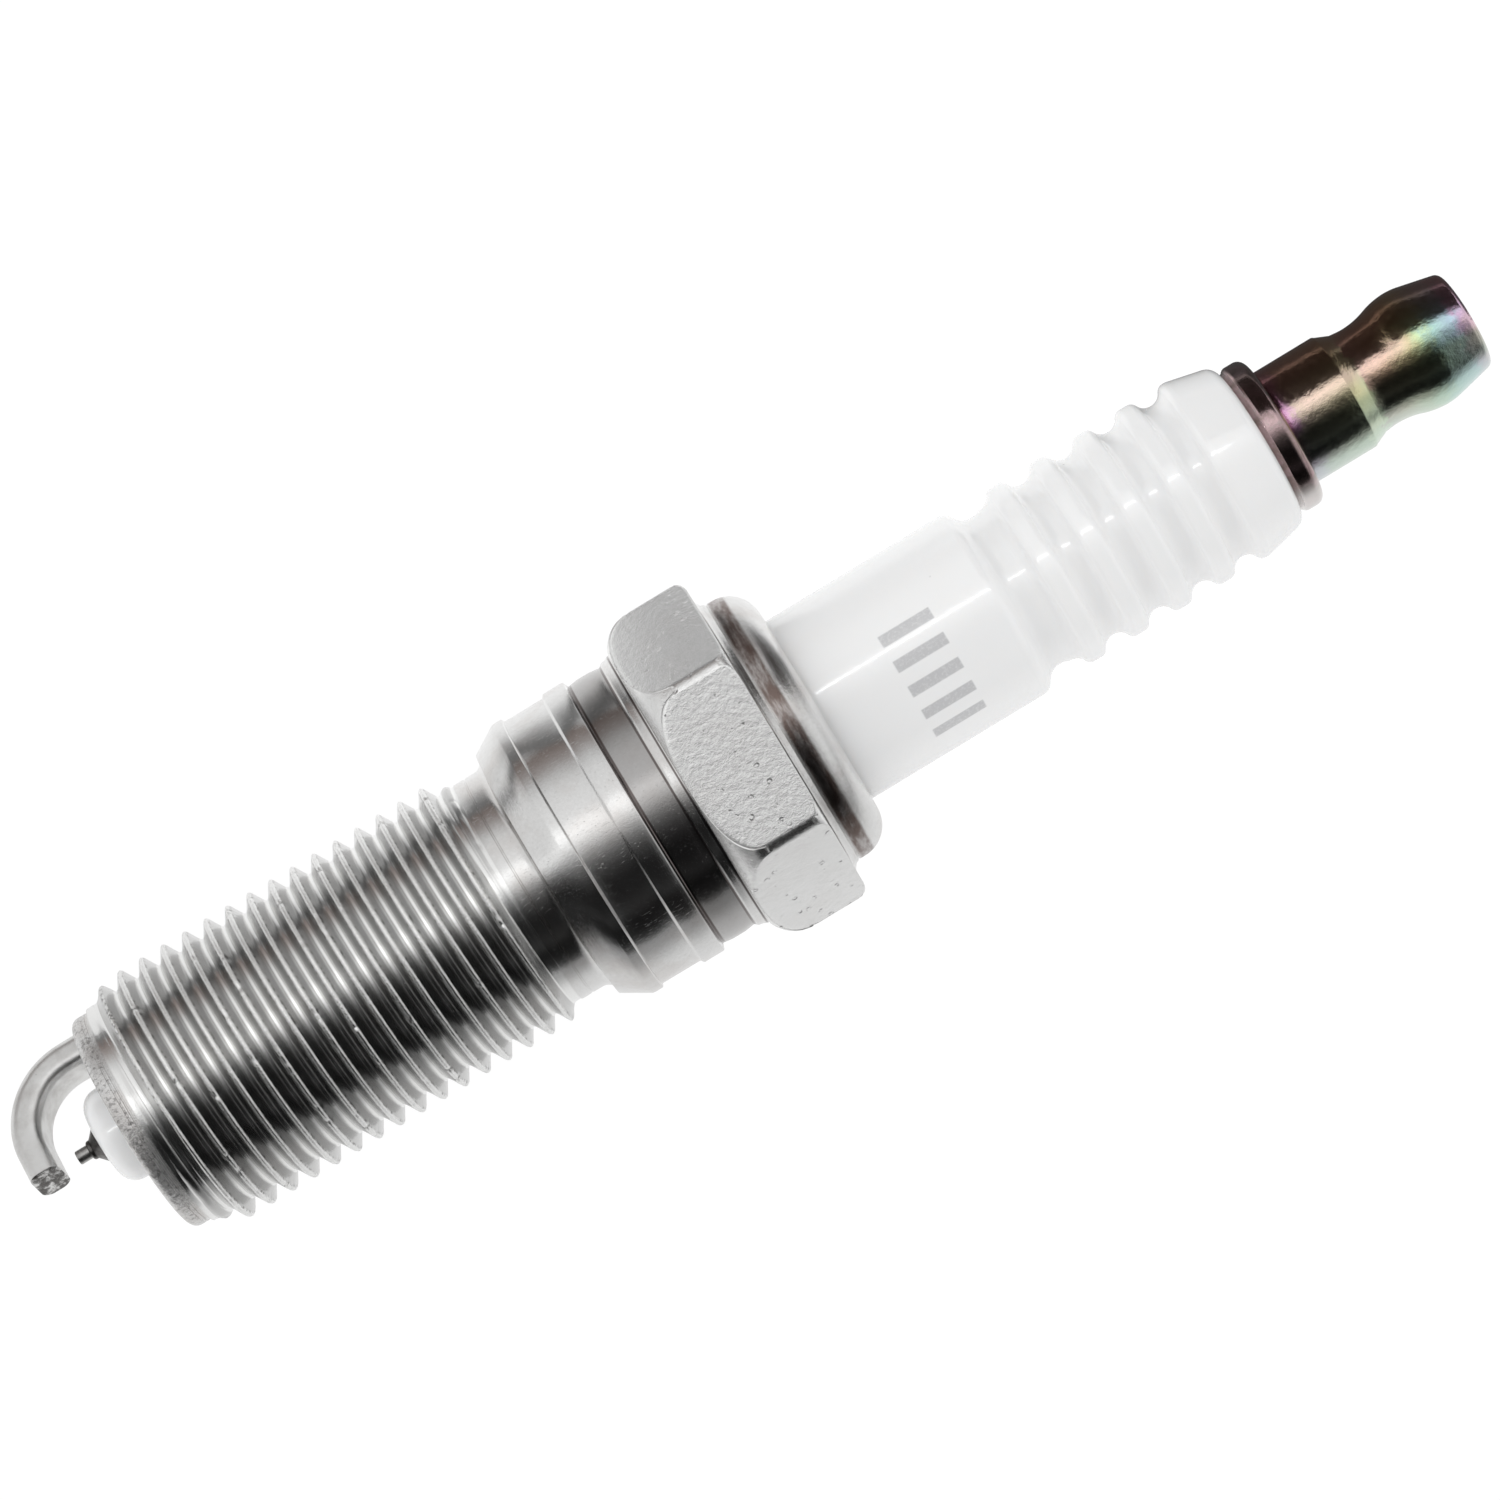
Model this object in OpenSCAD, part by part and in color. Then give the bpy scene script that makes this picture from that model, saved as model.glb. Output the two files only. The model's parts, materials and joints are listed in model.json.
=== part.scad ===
// Long-reach spark plug with a conical seat, a fine-wire centre electrode and a screw-on terminal nut.
//
// Every sub-part is drawn standing on its own axis: z = 0 is the gauge plane of the conical seat,
// +z runs to the terminal and -z to the spark gap. lay_along_x() then turns it so that the row
// frame has +X towards the terminal, +Z up from the hex flat the plug lies on, and +Y across.
// All lengths are millimetres.

/* [Shell] */
// Outside diameter of the M14 thread over its crests
thread_major_d = 13.90; // [13.80:0.02:13.96]
// Diameter at the bottom of the thread
thread_root_d = 12.30; // [12.20:0.05:12.40]
// Thread pitch
thread_pitch = 1.25; // [1:0.25:1.5]
// Reach: from the seat's gauge plane to the firing end of the shell
reach = 25.0; // [24.5:0.25:25.5]
// Size of the hex across its flats (5/8 inch)
hex_across_flats = 15.875; // [15.8:0.05:16]
// Height of the hex along the plug
hex_height = 5.0; // [4.5:0.1:5.2]
// Diameter of the conical seat at its gauge plane
seat_gauge_d = 14.8; // [14.7:0.05:14.9]
// Half angle of the conical seat
seat_half_angle = 31.5; // [30:0.5:32]
// Bore at the firing end, around the insulator nose
nose_bore_d = 8.1; // [8.0:0.1:8.4]
// Outside diameter of the rolled crimp
crimp_d = 14.8; // [14.6:0.1:15]

/* [Insulator] */
// Diameter of the white body that the boot grips
insulator_d = 10.3; // [10.2:0.05:10.4]
// Height of the insulator's top above the gauge plane
insulator_top = 40.60; // [40.4:0.05:40.8]
// How far the insulator nose stands past the shell
nose_projection = 1.72; // [1.6:0.02:2]
// Diameter of the nose at its tip
nose_d = 5.08; // [4.9:0.1:5.3]
// Spacing of the anti-flashover ribs
rib_pitch = 2.5; // [2.45:0.01:2.52]
// Diameter over the ribs
rib_d = 10.06; // [10:0.02:10.2]
// Diameter at the bottom of the grooves between the ribs
groove_d = 8.76; // [8.6:0.02:9]

/* [Terminal] */
// Height of the terminal's end above the gauge plane
terminal_top = 52.6; // [52.4:0.1:53]
// Largest diameter of the nut's barrel (1/4 inch)
nut_barrel_d = 6.37; // [6.3:0.01:6.4]
// Diameter of the stud's flange on top of the insulator
stud_flange_d = 8.24; // [8:0.1:8.4]
// Outside diameter of the stud's M4 thread
stud_thread_d = 4.0; // [3.96:0.01:4]
// Radial clearance of the nut over the stud
nut_clearance = 0.03; // [0.02:0.01:0.06]

/* [Firing end] */
// Spark gap
spark_gap = 0.93; // [0.7:0.01:1.1]
// How far the fine wire's end stands past the insulator nose
wire_projection = 1.44; // [1.3:0.02:1.6]
// Diameter of the fine wire
wire_d = 0.74; // [0.6:0.02:0.8]
// Diameter of the centre electrode inside the nose
electrode_d = 2.5; // [2.4:0.05:2.5]
// Width of the ground strap
strap_width = 2.7; // [2.5:0.1:2.8]
// Thickness of the ground strap
strap_thickness = 1.6; // [1.5:0.05:1.7]
// Angle of the ground strap around the plug, from +Y towards -Z
strap_angle = 27; // [0:1:60]

/* [Hidden] */
$fn = 96;

STEEL = [0.78, 0.78, 0.77];
SATIN = [0.70, 0.70, 0.69];
CERAMIC = [0.93, 0.93, 0.92];
ZINC_YELLOW = [0.52, 0.47, 0.30];
STUD_BROWN = [0.36, 0.29, 0.26];
NICKEL = [0.42, 0.40, 0.38];
COPPER = [0.72, 0.42, 0.25];
GLASS_SEAL = [0.18, 0.18, 0.20];
CARBON = [0.12, 0.12, 0.12];
TALC = [0.85, 0.84, 0.78];

// Shell stations along the plug
shell_front_z = -reach;
thread_front_z = -23.9;
thread_back_z = -2.5;
neck_back_z = -1.35;
thread_major_r = thread_major_d / 2;
thread_root_r = thread_root_d / 2;
thread_core_r = thread_root_r - 0.15;
// A thread crest passes the row's +Y side at this station.
crest_at_y_z = -22.81;
front_ring_r = 6.00;
rim_round = 0.45;
rim_break = 0.10;
rim_groove_z = -24.15;
neck_r = thread_root_r + 0.06;
neck_front_z = thread_back_z - 0.05;
neck_line_z = -1.93;
neck_fillet = 0.60;
seat_front_z = -0.75;
seat_back_z = 0.70;
seat_slope = tan(seat_half_angle);
seat_front_r = seat_gauge_d / 2 + seat_front_z * seat_slope;
seat_back_r = seat_gauge_d / 2 + seat_back_z * seat_slope;
band_r = 7.62;
band_ring_r = 7.80;
shrink_groove_r = 7.45;
shrink_crown = 0.08;
hex_front_z = 7.42;
hex_back_z = hex_front_z + hex_height;
hex_corner_r = 9.06;
hex_core_r = 7.30;
crimp_r = crimp_d / 2;
crimp_front_z = hex_back_z + 0.43;
crimp_top_z = 14.95;
crimp_roll_r = 1.75;

// Bore of the shell
nose_bore_r = nose_bore_d / 2;
ledge_front_z = -13.0;
ledge_back_z = -11.9;
ledge_r = 3.75;
rear_bore_r = 4.60;
bore_step_z = 2.4;
step_gap = 0.10;
large_bore_r = 6.10;
lip_under_z = 14.2;
lip_gap = 0.02;
seal_cone_slope = tan(30);
packing_thickness = 0.35;

// Insulator stations
insulator_r = insulator_d / 2;
nose_front_z = shell_front_z - nose_projection;
nose_r = nose_d / 2;
nose_edge_r = 0.95;
nose_back_r = 3.45;
insulator_body_r = rear_bore_r - 0.1;
insulator_flange_r = large_bore_r - 0.1;
flange_back_z = 10.0;
packing_r = insulator_r - 0.20;
packing_back_z = 14.2;
grip_front_z = 14.83;
grip_back_z = 24.95;
rib_r = rib_d / 2;
groove_r = groove_d / 2;
first_groove_r = groove_r - 0.12;
rib_count = 4;
first_rib_z = 28.20;
crest_edge_r = 0.40;
groove_round_r = 0.75;
head_z = first_rib_z + rib_count * rib_pitch - 0.1;
head_top_r = 3.87;
bore_r = 2.05;
electrode_bore_r = electrode_d / 2 + 0.05;
bore_shoulder_z = -4.5;

// Parts inside the insulator
lower_seal_top_z = -1.0;
resistor_top_z = 7.5;
upper_seal_top_z = 13.0;
stud_foot_z = 9.0;
stud_foot_r = 1.60;
stud_shank_r = 1.95;
electrode_head_r = 1.90;
electrode_head_z = bore_shoulder_z + 0.7;
electrode_knob_r = 1.20;
electrode_knob_z = electrode_head_z + 1.0;
core_r = 0.75;
core_front_z = -25.0;

// Terminal
stud_flange_r = stud_flange_d / 2;
stud_flange_front_z = insulator_top;
stud_flange_back_z = 42.00;
stud_thread_r = stud_thread_d / 2;
stud_thread_root_r = 1.60;
stud_thread_pitch = 0.7;
stud_top_z = terminal_top - 1.6;
nut_front_z = stud_flange_back_z;
nut_barrel_r = nut_barrel_d / 2;
nut_base_r = 3.16;
nut_base_back_z = 45.55;
nut_waist_r = 2.72;
nut_waist_z = 47.05;
nut_barrel_z = 49.75;
nut_crest_r = 3.2;
nut_end_angle = 12.8;
nut_edge_r = 0.4;
nut_bore_r = stud_thread_r + nut_clearance;
nut_end_hole_r = 1.65;

// Packing under the crimp
lower_ring_top_z = 11.5;
talc_top_z = 13.2;

// Firing end
wire_front_z = nose_front_z - wire_projection;
wire_r = wire_d / 2;
electrode_tip_z = nose_front_z - 0.55;
electrode_tip_r = 0.52;
strap_inner_z = wire_front_z - spark_gap;
strap_outer_z = strap_inner_z - strap_thickness;
strap_leg_r = 4.80;
strap_bend_r = 4.4;
strap_past_axis = 0.3;
strap_edge_r = 0.50;

// ---------- helpers ----------

// Turns a part drawn along z so that its axis lies along the row's +X.
module lay_along_x() {
    rotate([0, 90, 0])
        children();
}

// Drops a point that repeats the one before it, as where two arcs meet.
function without_repeats(points) = [
    for (i = [0:len(points) - 1])
        if (i == 0 || norm(points[i] - points[max(0, i - 1)]) > 0.001)
            points[i]
];

// A solid of revolution from an outline of [radius, z] points.
module turned(outline) {
    rotate_extrude()
        polygon(without_repeats(outline));
}

// Points on an arc in the [radius, z] plane, from angle a0 to a1.
function arc(centre, r, a0, a1, steps = 6) = [
    for (i = [0:steps])
        centre + r * [
            cos(a0 + (a1 - a0) * i / steps),
            sin(a0 + (a1 - a0) * i / steps)
        ]
];

// A plain ring between two radii and two stations.
module ring(inner_r, outer_r, z0, z1) {
    turned([
        [inner_r, z0],
        [outer_r, z0],
        [outer_r, z1],
        [inner_r, z1]
    ]);
}

// ---------- helical threads ----------

// A threaded rod as one closed skin. Columns run round the helix, and each column holds one pitch
// of the thread form; the form's end is the first point of the column one turn on. A point on the
// axis closes each end, and the caller cuts the rod to length.
//   form: [share of the pitch, share of the height] for each corner, starting at [0, 0]
//   fade_front, fade_back: [station where the thread is nothing, station where it is full]
module threaded_rod(root_r, crest_r, pitch, form, start_z, turns, steps, fade_front, fade_back) {
    columns = turns * steps;
    corners = len(form);
    function fade(z) = max(0, min(
        1,
        (z - fade_front[0]) / (fade_front[1] - fade_front[0]),
        (z - fade_back[0]) / (fade_back[1] - fade_back[0])
    ));
    function form_point(column, corner) =
        let (z = start_z + pitch * (column / steps + form[corner][0]))
        let (r = root_r + (crest_r - root_r) * form[corner][1] * fade(z))
        let (a = 360 * column / steps)
        [r * cos(a), r * sin(a), z];
    points = concat(
        [for (j = [0:columns]) for (k = [0:corners - 1]) form_point(j, k)],
        [for (j = [columns + 1:columns + steps]) form_point(j, 0)],
        [[0, 0, start_z - pitch], [0, 0, start_z + (turns + 2) * pitch]]
    );
    body_count = (columns + 1) * corners;
    front_apex = body_count + steps;
    back_apex = front_apex + 1;
    function at(j, k) =
        k < corners ? j * corners + k
        : j + steps <= columns ? (j + steps) * corners
        : body_count + j + steps - columns - 1;
    last = columns - steps;
    skin = [
        for (j = [0:columns - 1])
            for (k = [0:corners - 1])
                each [
                    [at(j, k), at(j, k + 1), at(j + 1, k)],
                    [at(j, k + 1), at(j + 1, k + 1), at(j + 1, k)]
                ]
    ];
    ends = [
        for (j = [0:steps - 1])
            each [
                [front_apex, at(j, 0), at(j + 1, 0)],
                [back_apex, at(last + j + 1, corners), at(last + j, corners)]
            ]
    ];
    end_steps = [
        for (k = [0:corners - 1])
            each [
                [front_apex, at(0, k + 1), at(0, k)],
                [back_apex, at(columns, k), at(columns, k + 1)]
            ]
    ];
    polyhedron(points = points, faces = concat(skin, ends, end_steps), convexity = 12);
}

// A 60 degree thread form: up a flank, along the crest, down the other flank, along the root.
function thread_form(depth, pitch, crest_flat) =
    let (flank = depth * tan(30) / pitch)
    let (crest = crest_flat / pitch)
    [
        [0, 0],
        [flank, 1],
        [flank + crest, 1],
        [2 * flank + crest, 0]
    ];

// ---------- shell ----------

module shell() {
    color(STEEL)
        lay_along_x()
            union() {
                turned(concat(shell_front(), shell_seat(), shell_waist(), shell_crimp(), shell_bore()));
                shell_hex();
                shell_thread();
            }
}

// The rim at the firing end with its fine groove, and the core under the thread.
function shell_front() = concat(
    [[nose_bore_r + rim_break, shell_front_z]],
    arc([front_ring_r - rim_round, shell_front_z + rim_round], rim_round, -90, 0, 4),
    [
        [front_ring_r, rim_groove_z - 0.07],
        [front_ring_r - 0.07, rim_groove_z],
        [front_ring_r, rim_groove_z + 0.07],
        [front_ring_r, thread_front_z + 0.2],
        [thread_core_r, thread_front_z + 0.2],
        [thread_core_r, neck_front_z]
    ]
);

// The neck behind the thread and the conical seat.
function shell_seat() = concat(
    [
        [neck_r, neck_front_z],
        [neck_r, neck_line_z - 0.05],
        [neck_r - 0.05, neck_line_z],
        [neck_r, neck_line_z + 0.05]
    ],
    arc([neck_r + neck_fillet, neck_back_z], neck_fillet, 180, 125, 4),
    [
        [seat_front_r, seat_front_z],
        [seat_back_r, seat_back_z]
    ]
);

// Two raised bands, the slightly crowned shrink groove and the collar under the hex.
function shell_waist() = [
    [band_ring_r, seat_back_z + 0.05],
    [band_ring_r, 1.20],
    [band_r, 1.25],
    [band_r, 3.50],
    [band_ring_r, 3.60],
    [band_ring_r, 4.75],
    [band_ring_r - 0.05, 4.82],
    [shrink_groove_r, 4.90],
    [shrink_groove_r + shrink_crown, 5.45],
    [shrink_groove_r + shrink_crown, 6.15],
    [shrink_groove_r, 6.72],
    [band_r, 6.88],
    [band_r + 0.05, 7.15],
    [band_r + 0.15, hex_front_z],
    [band_r + 0.15, hex_front_z + 0.1],
    [hex_core_r, hex_front_z + 0.3],
    [hex_core_r, hex_back_z - 0.4]
];

// The short neck above the hex and the lip rolled over onto the insulator.
function shell_crimp() = concat(
    [
        [crimp_r + 0.40, hex_back_z - 0.1],
        [crimp_r + 0.30, hex_back_z + 0.06],
        [crimp_r + 0.10, hex_back_z + 0.20],
        [crimp_r + 0.04, crimp_front_z - 0.04],
        [crimp_r - 0.04, crimp_front_z],
        [crimp_r, crimp_front_z + 0.06]
    ],
    arc([crimp_r - crimp_roll_r, crimp_top_z - crimp_roll_r], crimp_roll_r, 0, 90, 9),
    arc([insulator_r + lip_gap + 0.12, grip_front_z], crimp_top_z - grip_front_z, 90, 180, 3),
    [[packing_r + lip_gap, lip_under_z]]
);

// The bore, from under the lip back to the rim.
function shell_bore() = [
    [large_bore_r, lip_under_z],
    [large_bore_r, bore_step_z + 1],
    [rear_bore_r, bore_step_z],
    [rear_bore_r, ledge_back_z + (rear_bore_r - ledge_r) * seal_cone_slope],
    [ledge_r, ledge_back_z],
    [ledge_r, ledge_front_z],
    [nose_bore_r, ledge_front_z - 0.5],
    [nose_bore_r, shell_front_z + rim_break]
];

// The hex, with its corners rounded off by a turned envelope.
module shell_hex() {
    front_round_r = 2.0;
    front_round_z = 1.83;
    back_round_r = 0.55;
    inner_r = hex_core_r - 0.5;
    intersection() {
        turned(concat(
            [[inner_r, hex_front_z]],
            arc(
                [hex_corner_r - front_round_r, hex_front_z + front_round_z],
                front_round_r,
                -asin(front_round_z / front_round_r),
                0,
                8
            ),
            arc([hex_corner_r - back_round_r, hex_back_z - back_round_r], back_round_r, 0, 90, 4),
            [[inner_r, hex_back_z]]
        ));
        translate([0, 0, hex_front_z - 1])
            rotate([0, 0, 30])
                cylinder(r = hex_across_flats / 2 / cos(30), h = hex_height + 2, $fn = 6);
    }
}

// The M14 thread, right-handed, running in at the firing end and out at the neck.
module shell_thread() {
    crest_flat = 0.15;
    form = thread_form(thread_major_r - thread_root_r, thread_pitch, crest_flat);
    crest_share = form[1][0] + crest_flat / thread_pitch / 2;
    // The row's +Y side is a quarter turn round from where the columns start.
    start_z = crest_at_y_z - (0.25 + crest_share + 3) * thread_pitch;
    intersection() {
        threaded_rod(
            root_r = thread_root_r,
            crest_r = thread_major_r,
            pitch = thread_pitch,
            form = form,
            start_z = start_z,
            turns = ceil((thread_back_z - start_z) / thread_pitch) + 1,
            steps = 48,
            fade_front = [thread_front_z + 0.20, thread_front_z + 1.40],
            fade_back = [thread_back_z - 0.45, thread_back_z - 1.45]
        );
        ring(thread_core_r - 0.3, thread_major_r + 1, thread_front_z, thread_back_z);
    }
}

// ---------- insulator and its packing ----------

module insulator() {
    color(CERAMIC)
        lay_along_x()
            turned(concat(insulator_nose(), insulator_grip(), insulator_ribs(), insulator_head()));
}

// From the bore's shoulder out of the nose and back along it to the crimp.
function insulator_nose() = concat(
    [
        [electrode_bore_r, bore_shoulder_z],
        [electrode_bore_r, nose_front_z]
    ],
    arc([nose_r - nose_edge_r, nose_front_z + nose_edge_r], nose_edge_r, -90, 0, 8),
    [
        [nose_back_r, ledge_front_z - 0.2],
        [nose_back_r, seat_cone_z(nose_back_r)],
        [insulator_body_r, seat_cone_z(insulator_body_r)],
        [insulator_body_r, bore_step_z + step_gap],
        [insulator_flange_r, bore_step_z + 1 + step_gap],
        [insulator_flange_r, flange_back_z],
        [packing_r, flange_back_z + insulator_flange_r - packing_r],
        [packing_r, packing_back_z],
        [insulator_r, grip_front_z]
    ]
);

// The plain cylinder that the boot grips, and the deeper first groove.
function insulator_grip() = concat(
    arc([insulator_r - 0.7, grip_back_z], 0.7, 0, 50, 5),
    arc([first_groove_r + 0.8, 26.35], 0.8, 228, 180, 5),
    [[first_groove_r, 26.65]]
);

function insulator_ribs() = [
    for (i = [0:rib_count - 1])
        each concat(
            rib_rise(first_rib_z + i * rib_pitch),
            rib_fall(first_rib_z + i * rib_pitch)
        )
];

// The head above the last groove, tapering to the face under the stud's flange.
function insulator_head() = concat(
    rib_rise(first_rib_z + rib_count * rib_pitch),
    arc([rib_r - crest_edge_r, head_z], crest_edge_r, 0, 15, 2),
    arc([head_top_r, insulator_top - 0.75], 0.75, 16, 90, 6),
    [
        [bore_r, insulator_top],
        [bore_r, bore_shoulder_z]
    ]
);

// The conical shoulder that the packing ring seals against, parallel to the shell's own cone.
function seat_cone_z(r) = ledge_back_z + (r - ledge_r) * seal_cone_slope + packing_thickness;

// The round of a groove and the round of a crest meet at this slope.
crest_drop = rib_r - crest_edge_r - groove_r - groove_round_r;
round_span = crest_edge_r + groove_round_r;
meet_angle = asin(crest_drop / round_span);
crest_half = rib_pitch / 2 - round_span * cos(meet_angle);

// From the bottom of a groove up to the crest at z, and down again to the next groove.
function rib_rise(z) = concat(
    arc([groove_r + groove_round_r, z - rib_pitch / 2], groove_round_r, 180, 90 - meet_angle, 6),
    arc([rib_r - crest_edge_r, z - crest_half], crest_edge_r, -90 - meet_angle, 0, 5)
);
function rib_fall(z) = concat(
    arc([rib_r - crest_edge_r, z + crest_half], crest_edge_r, 0, 90 + meet_angle, 5),
    arc([groove_r + groove_round_r, z + rib_pitch / 2], groove_round_r, 270 + meet_angle, 180, 6)
);

module seat_packing_ring() {
    inner_r = ledge_r + 0.1;
    outer_r = insulator_body_r - 0.05;
    color(STEEL)
        lay_along_x()
            turned([
                [inner_r, seat_cone_z(inner_r) - packing_thickness],
                [outer_r, seat_cone_z(outer_r) - packing_thickness],
                [outer_r, seat_cone_z(outer_r)],
                [inner_r, seat_cone_z(inner_r)]
            ]);
}

module lower_crimp_ring() {
    color(STEEL)
        lay_along_x()
            turned([
                [packing_r, flange_back_z + insulator_flange_r - packing_r],
                [insulator_flange_r, flange_back_z],
                [large_bore_r, flange_back_z],
                [large_bore_r, lower_ring_top_z],
                [packing_r, lower_ring_top_z]
            ]);
}

module talc_fill() {
    color(TALC)
        lay_along_x()
            ring(packing_r, large_bore_r, lower_ring_top_z, talc_top_z);
}

module upper_crimp_ring() {
    color(STEEL)
        lay_along_x()
            ring(packing_r, large_bore_r, talc_top_z, packing_back_z);
}

// ---------- terminal ----------

module terminal_stud() {
    color(STUD_BROWN)
        lay_along_x()
            union() {
                turned(stud_outline());
                stud_thread();
            }
}

function stud_outline() = concat(
    [
        [0, stud_foot_z],
        [stud_foot_r - 0.3, stud_foot_z],
        [stud_foot_r, stud_foot_z + 0.4],
        [stud_foot_r, upper_seal_top_z],
        [stud_shank_r, upper_seal_top_z],
        [stud_shank_r, stud_flange_front_z],
        [stud_flange_r - 0.25, stud_flange_front_z]
    ],
    arc([stud_flange_r - 0.3, stud_flange_front_z + 0.45], 0.3, -60, 0, 3),
    arc([stud_flange_r - 0.5, stud_flange_back_z - 0.5], 0.5, 0, 90, 5),
    [
        [stud_thread_root_r, stud_flange_back_z],
        [stud_thread_root_r, stud_top_z],
        [stud_thread_root_r - 0.35, stud_top_z + 0.3],
        [0, stud_top_z + 0.3]
    ]
);

// The M4 thread that the terminal nut screws on.
module stud_thread() {
    front_z = stud_flange_back_z + 0.5;
    back_z = stud_top_z - 0.1;
    start_z = front_z - 2 * stud_thread_pitch;
    intersection() {
        threaded_rod(
            root_r = stud_thread_root_r + 0.01,
            crest_r = stud_thread_r,
            pitch = stud_thread_pitch,
            form = thread_form(stud_thread_r - stud_thread_root_r, stud_thread_pitch, 0.12),
            start_z = start_z,
            turns = ceil((back_z - start_z) / stud_thread_pitch) + 1,
            steps = 24,
            fade_front = [front_z - 0.1, front_z + 0.3],
            fade_back = [stud_top_z, stud_top_z - 0.5]
        );
        translate([0, 0, front_z])
            cylinder(r = stud_thread_r + 1, h = back_z - front_z);
    }
}

// The nut: a plain base, a bevel down to a waist, and the barrel that the plug cap snaps over.
module terminal_nut() {
    color(ZINC_YELLOW)
        lay_along_x()
            turned(concat(nut_base(), nut_barrel(), nut_bore()));
}

function nut_base() = [
    [nut_bore_r + 0.3, nut_front_z],
    [nut_base_r - 0.1, nut_front_z],
    [nut_base_r, nut_front_z + 0.1],
    [nut_base_r, nut_base_back_z],
    [nut_base_r - 0.06, nut_base_back_z + 0.07],
    [nut_waist_r + 0.1, nut_waist_z - 0.80]
];

// Two equal arcs that run into each other from the waist to the barrel's widest point, then a
// short arc over the crest, a cone and the rounded edge of the end.
nut_swell = nut_barrel_r - nut_waist_r;
nut_rise = nut_barrel_z - nut_waist_z;
nut_arcs_r = (nut_rise * nut_rise / nut_swell + nut_swell) / 4;
nut_arcs_angle = asin(nut_rise / nut_arcs_r / 2);
nut_cone_front_r = nut_barrel_r - nut_crest_r * (1 - cos(nut_end_angle));
nut_cone_front_z = nut_barrel_z + nut_crest_r * sin(nut_end_angle);
nut_cone_back_z = terminal_top - nut_edge_r * (1 - sin(nut_end_angle));
nut_cone_back_r = nut_cone_front_r - (nut_cone_back_z - nut_cone_front_z) * tan(nut_end_angle);
function nut_barrel() = concat(
    arc([nut_waist_r + nut_arcs_r, nut_waist_z], nut_arcs_r, 183, 180 - nut_arcs_angle, 6),
    arc([nut_barrel_r - nut_arcs_r, nut_barrel_z], nut_arcs_r, -nut_arcs_angle, 0, 6),
    arc([nut_barrel_r - nut_crest_r, nut_barrel_z], nut_crest_r, 0, nut_end_angle, 3),
    arc(
        [nut_cone_back_r - nut_edge_r * cos(nut_end_angle), terminal_top - nut_edge_r],
        nut_edge_r,
        nut_end_angle,
        90,
        5
    )
);

// The bore over the stud, and the smaller hole that stays open at the end.
function nut_bore() = [
    [nut_end_hole_r + 0.12, terminal_top],
    [nut_end_hole_r, terminal_top - 0.12],
    [nut_end_hole_r, stud_top_z + 0.5],
    [nut_bore_r, stud_top_z + 0.4],
    [nut_bore_r, nut_front_z + 0.3]
];

// ---------- parts sealed inside the insulator ----------

module upper_glass_seal() {
    color(GLASS_SEAL)
        lay_along_x()
            turned([
                [0, resistor_top_z],
                [bore_r, resistor_top_z],
                [bore_r, upper_seal_top_z],
                [stud_foot_r, upper_seal_top_z],
                [stud_foot_r, stud_foot_z + 0.4],
                [stud_foot_r - 0.3, stud_foot_z],
                [0, stud_foot_z]
            ]);
}

module resistor() {
    color(CARBON)
        lay_along_x()
            translate([0, 0, lower_seal_top_z])
                cylinder(r = bore_r, h = resistor_top_z - lower_seal_top_z);
}

module lower_glass_seal() {
    color(GLASS_SEAL)
        lay_along_x()
            turned([
                [0, electrode_knob_z],
                [electrode_knob_r, electrode_knob_z],
                [electrode_knob_r, electrode_head_z],
                [electrode_head_r, electrode_head_z],
                [electrode_head_r, bore_shoulder_z],
                [bore_r, bore_shoulder_z],
                [bore_r, lower_seal_top_z],
                [0, lower_seal_top_z]
            ]);
}

// The nickel sleeve of the centre electrode, with its head in the lower seal.
module centre_electrode() {
    sleeve_r = electrode_d / 2;
    color(NICKEL)
        lay_along_x()
            turned([
                [0, electrode_tip_z],
                [electrode_tip_r, electrode_tip_z],
                [1.12, nose_front_z - 0.02],
                [sleeve_r, nose_front_z + 0.25],
                [sleeve_r, bore_shoulder_z],
                [electrode_head_r, bore_shoulder_z],
                [electrode_head_r, electrode_head_z],
                [electrode_knob_r, electrode_head_z],
                [electrode_knob_r, electrode_knob_z],
                [core_r, electrode_knob_z],
                [core_r, core_front_z],
                [0, core_front_z - 0.4]
            ]);
}

module electrode_core() {
    color(COPPER)
        lay_along_x()
            turned([
                [0, core_front_z - 0.4],
                [core_r, core_front_z],
                [core_r, electrode_knob_z],
                [0, electrode_knob_z]
            ]);
}

// The welded collar that holds the fine wire on the nickel tip.
module tip_weld() {
    color(NICKEL)
        lay_along_x()
            turned(concat(
                [[wire_r, electrode_tip_z], [electrode_tip_r, electrode_tip_z]],
                arc([wire_r, electrode_tip_z - 0.06], electrode_tip_r - wire_r, 0, -90, 5)
            ));
}

module fine_wire() {
    color(SATIN)
        lay_along_x()
            turned([
                [0, wire_front_z],
                [wire_r - 0.04, wire_front_z],
                [wire_r, wire_front_z + 0.04],
                [wire_r, electrode_tip_z],
                [0, electrode_tip_z]
            ]);
}

// ---------- ground electrode ----------

// Turns a part drawn with its leg on the +x side to the strap's place around the plug.
module at_strap_angle() {
    rotate([0, 0, 90 - strap_angle])
        children();
}

// The strap's section: a bar with rounded edges, thickness along x and width along y.
module strap_section() {
    t = strap_thickness / 2 - strap_edge_r;
    w = strap_width / 2 - strap_edge_r;
    polygon(concat(
        arc([t, w], strap_edge_r, 0, 90, 4),
        arc([-t, w], strap_edge_r, 90, 180, 4),
        arc([-t, -w], strap_edge_r, 180, 270, 4),
        arc([t, -w], strap_edge_r, 270, 360, 4)
    ));
}

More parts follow.
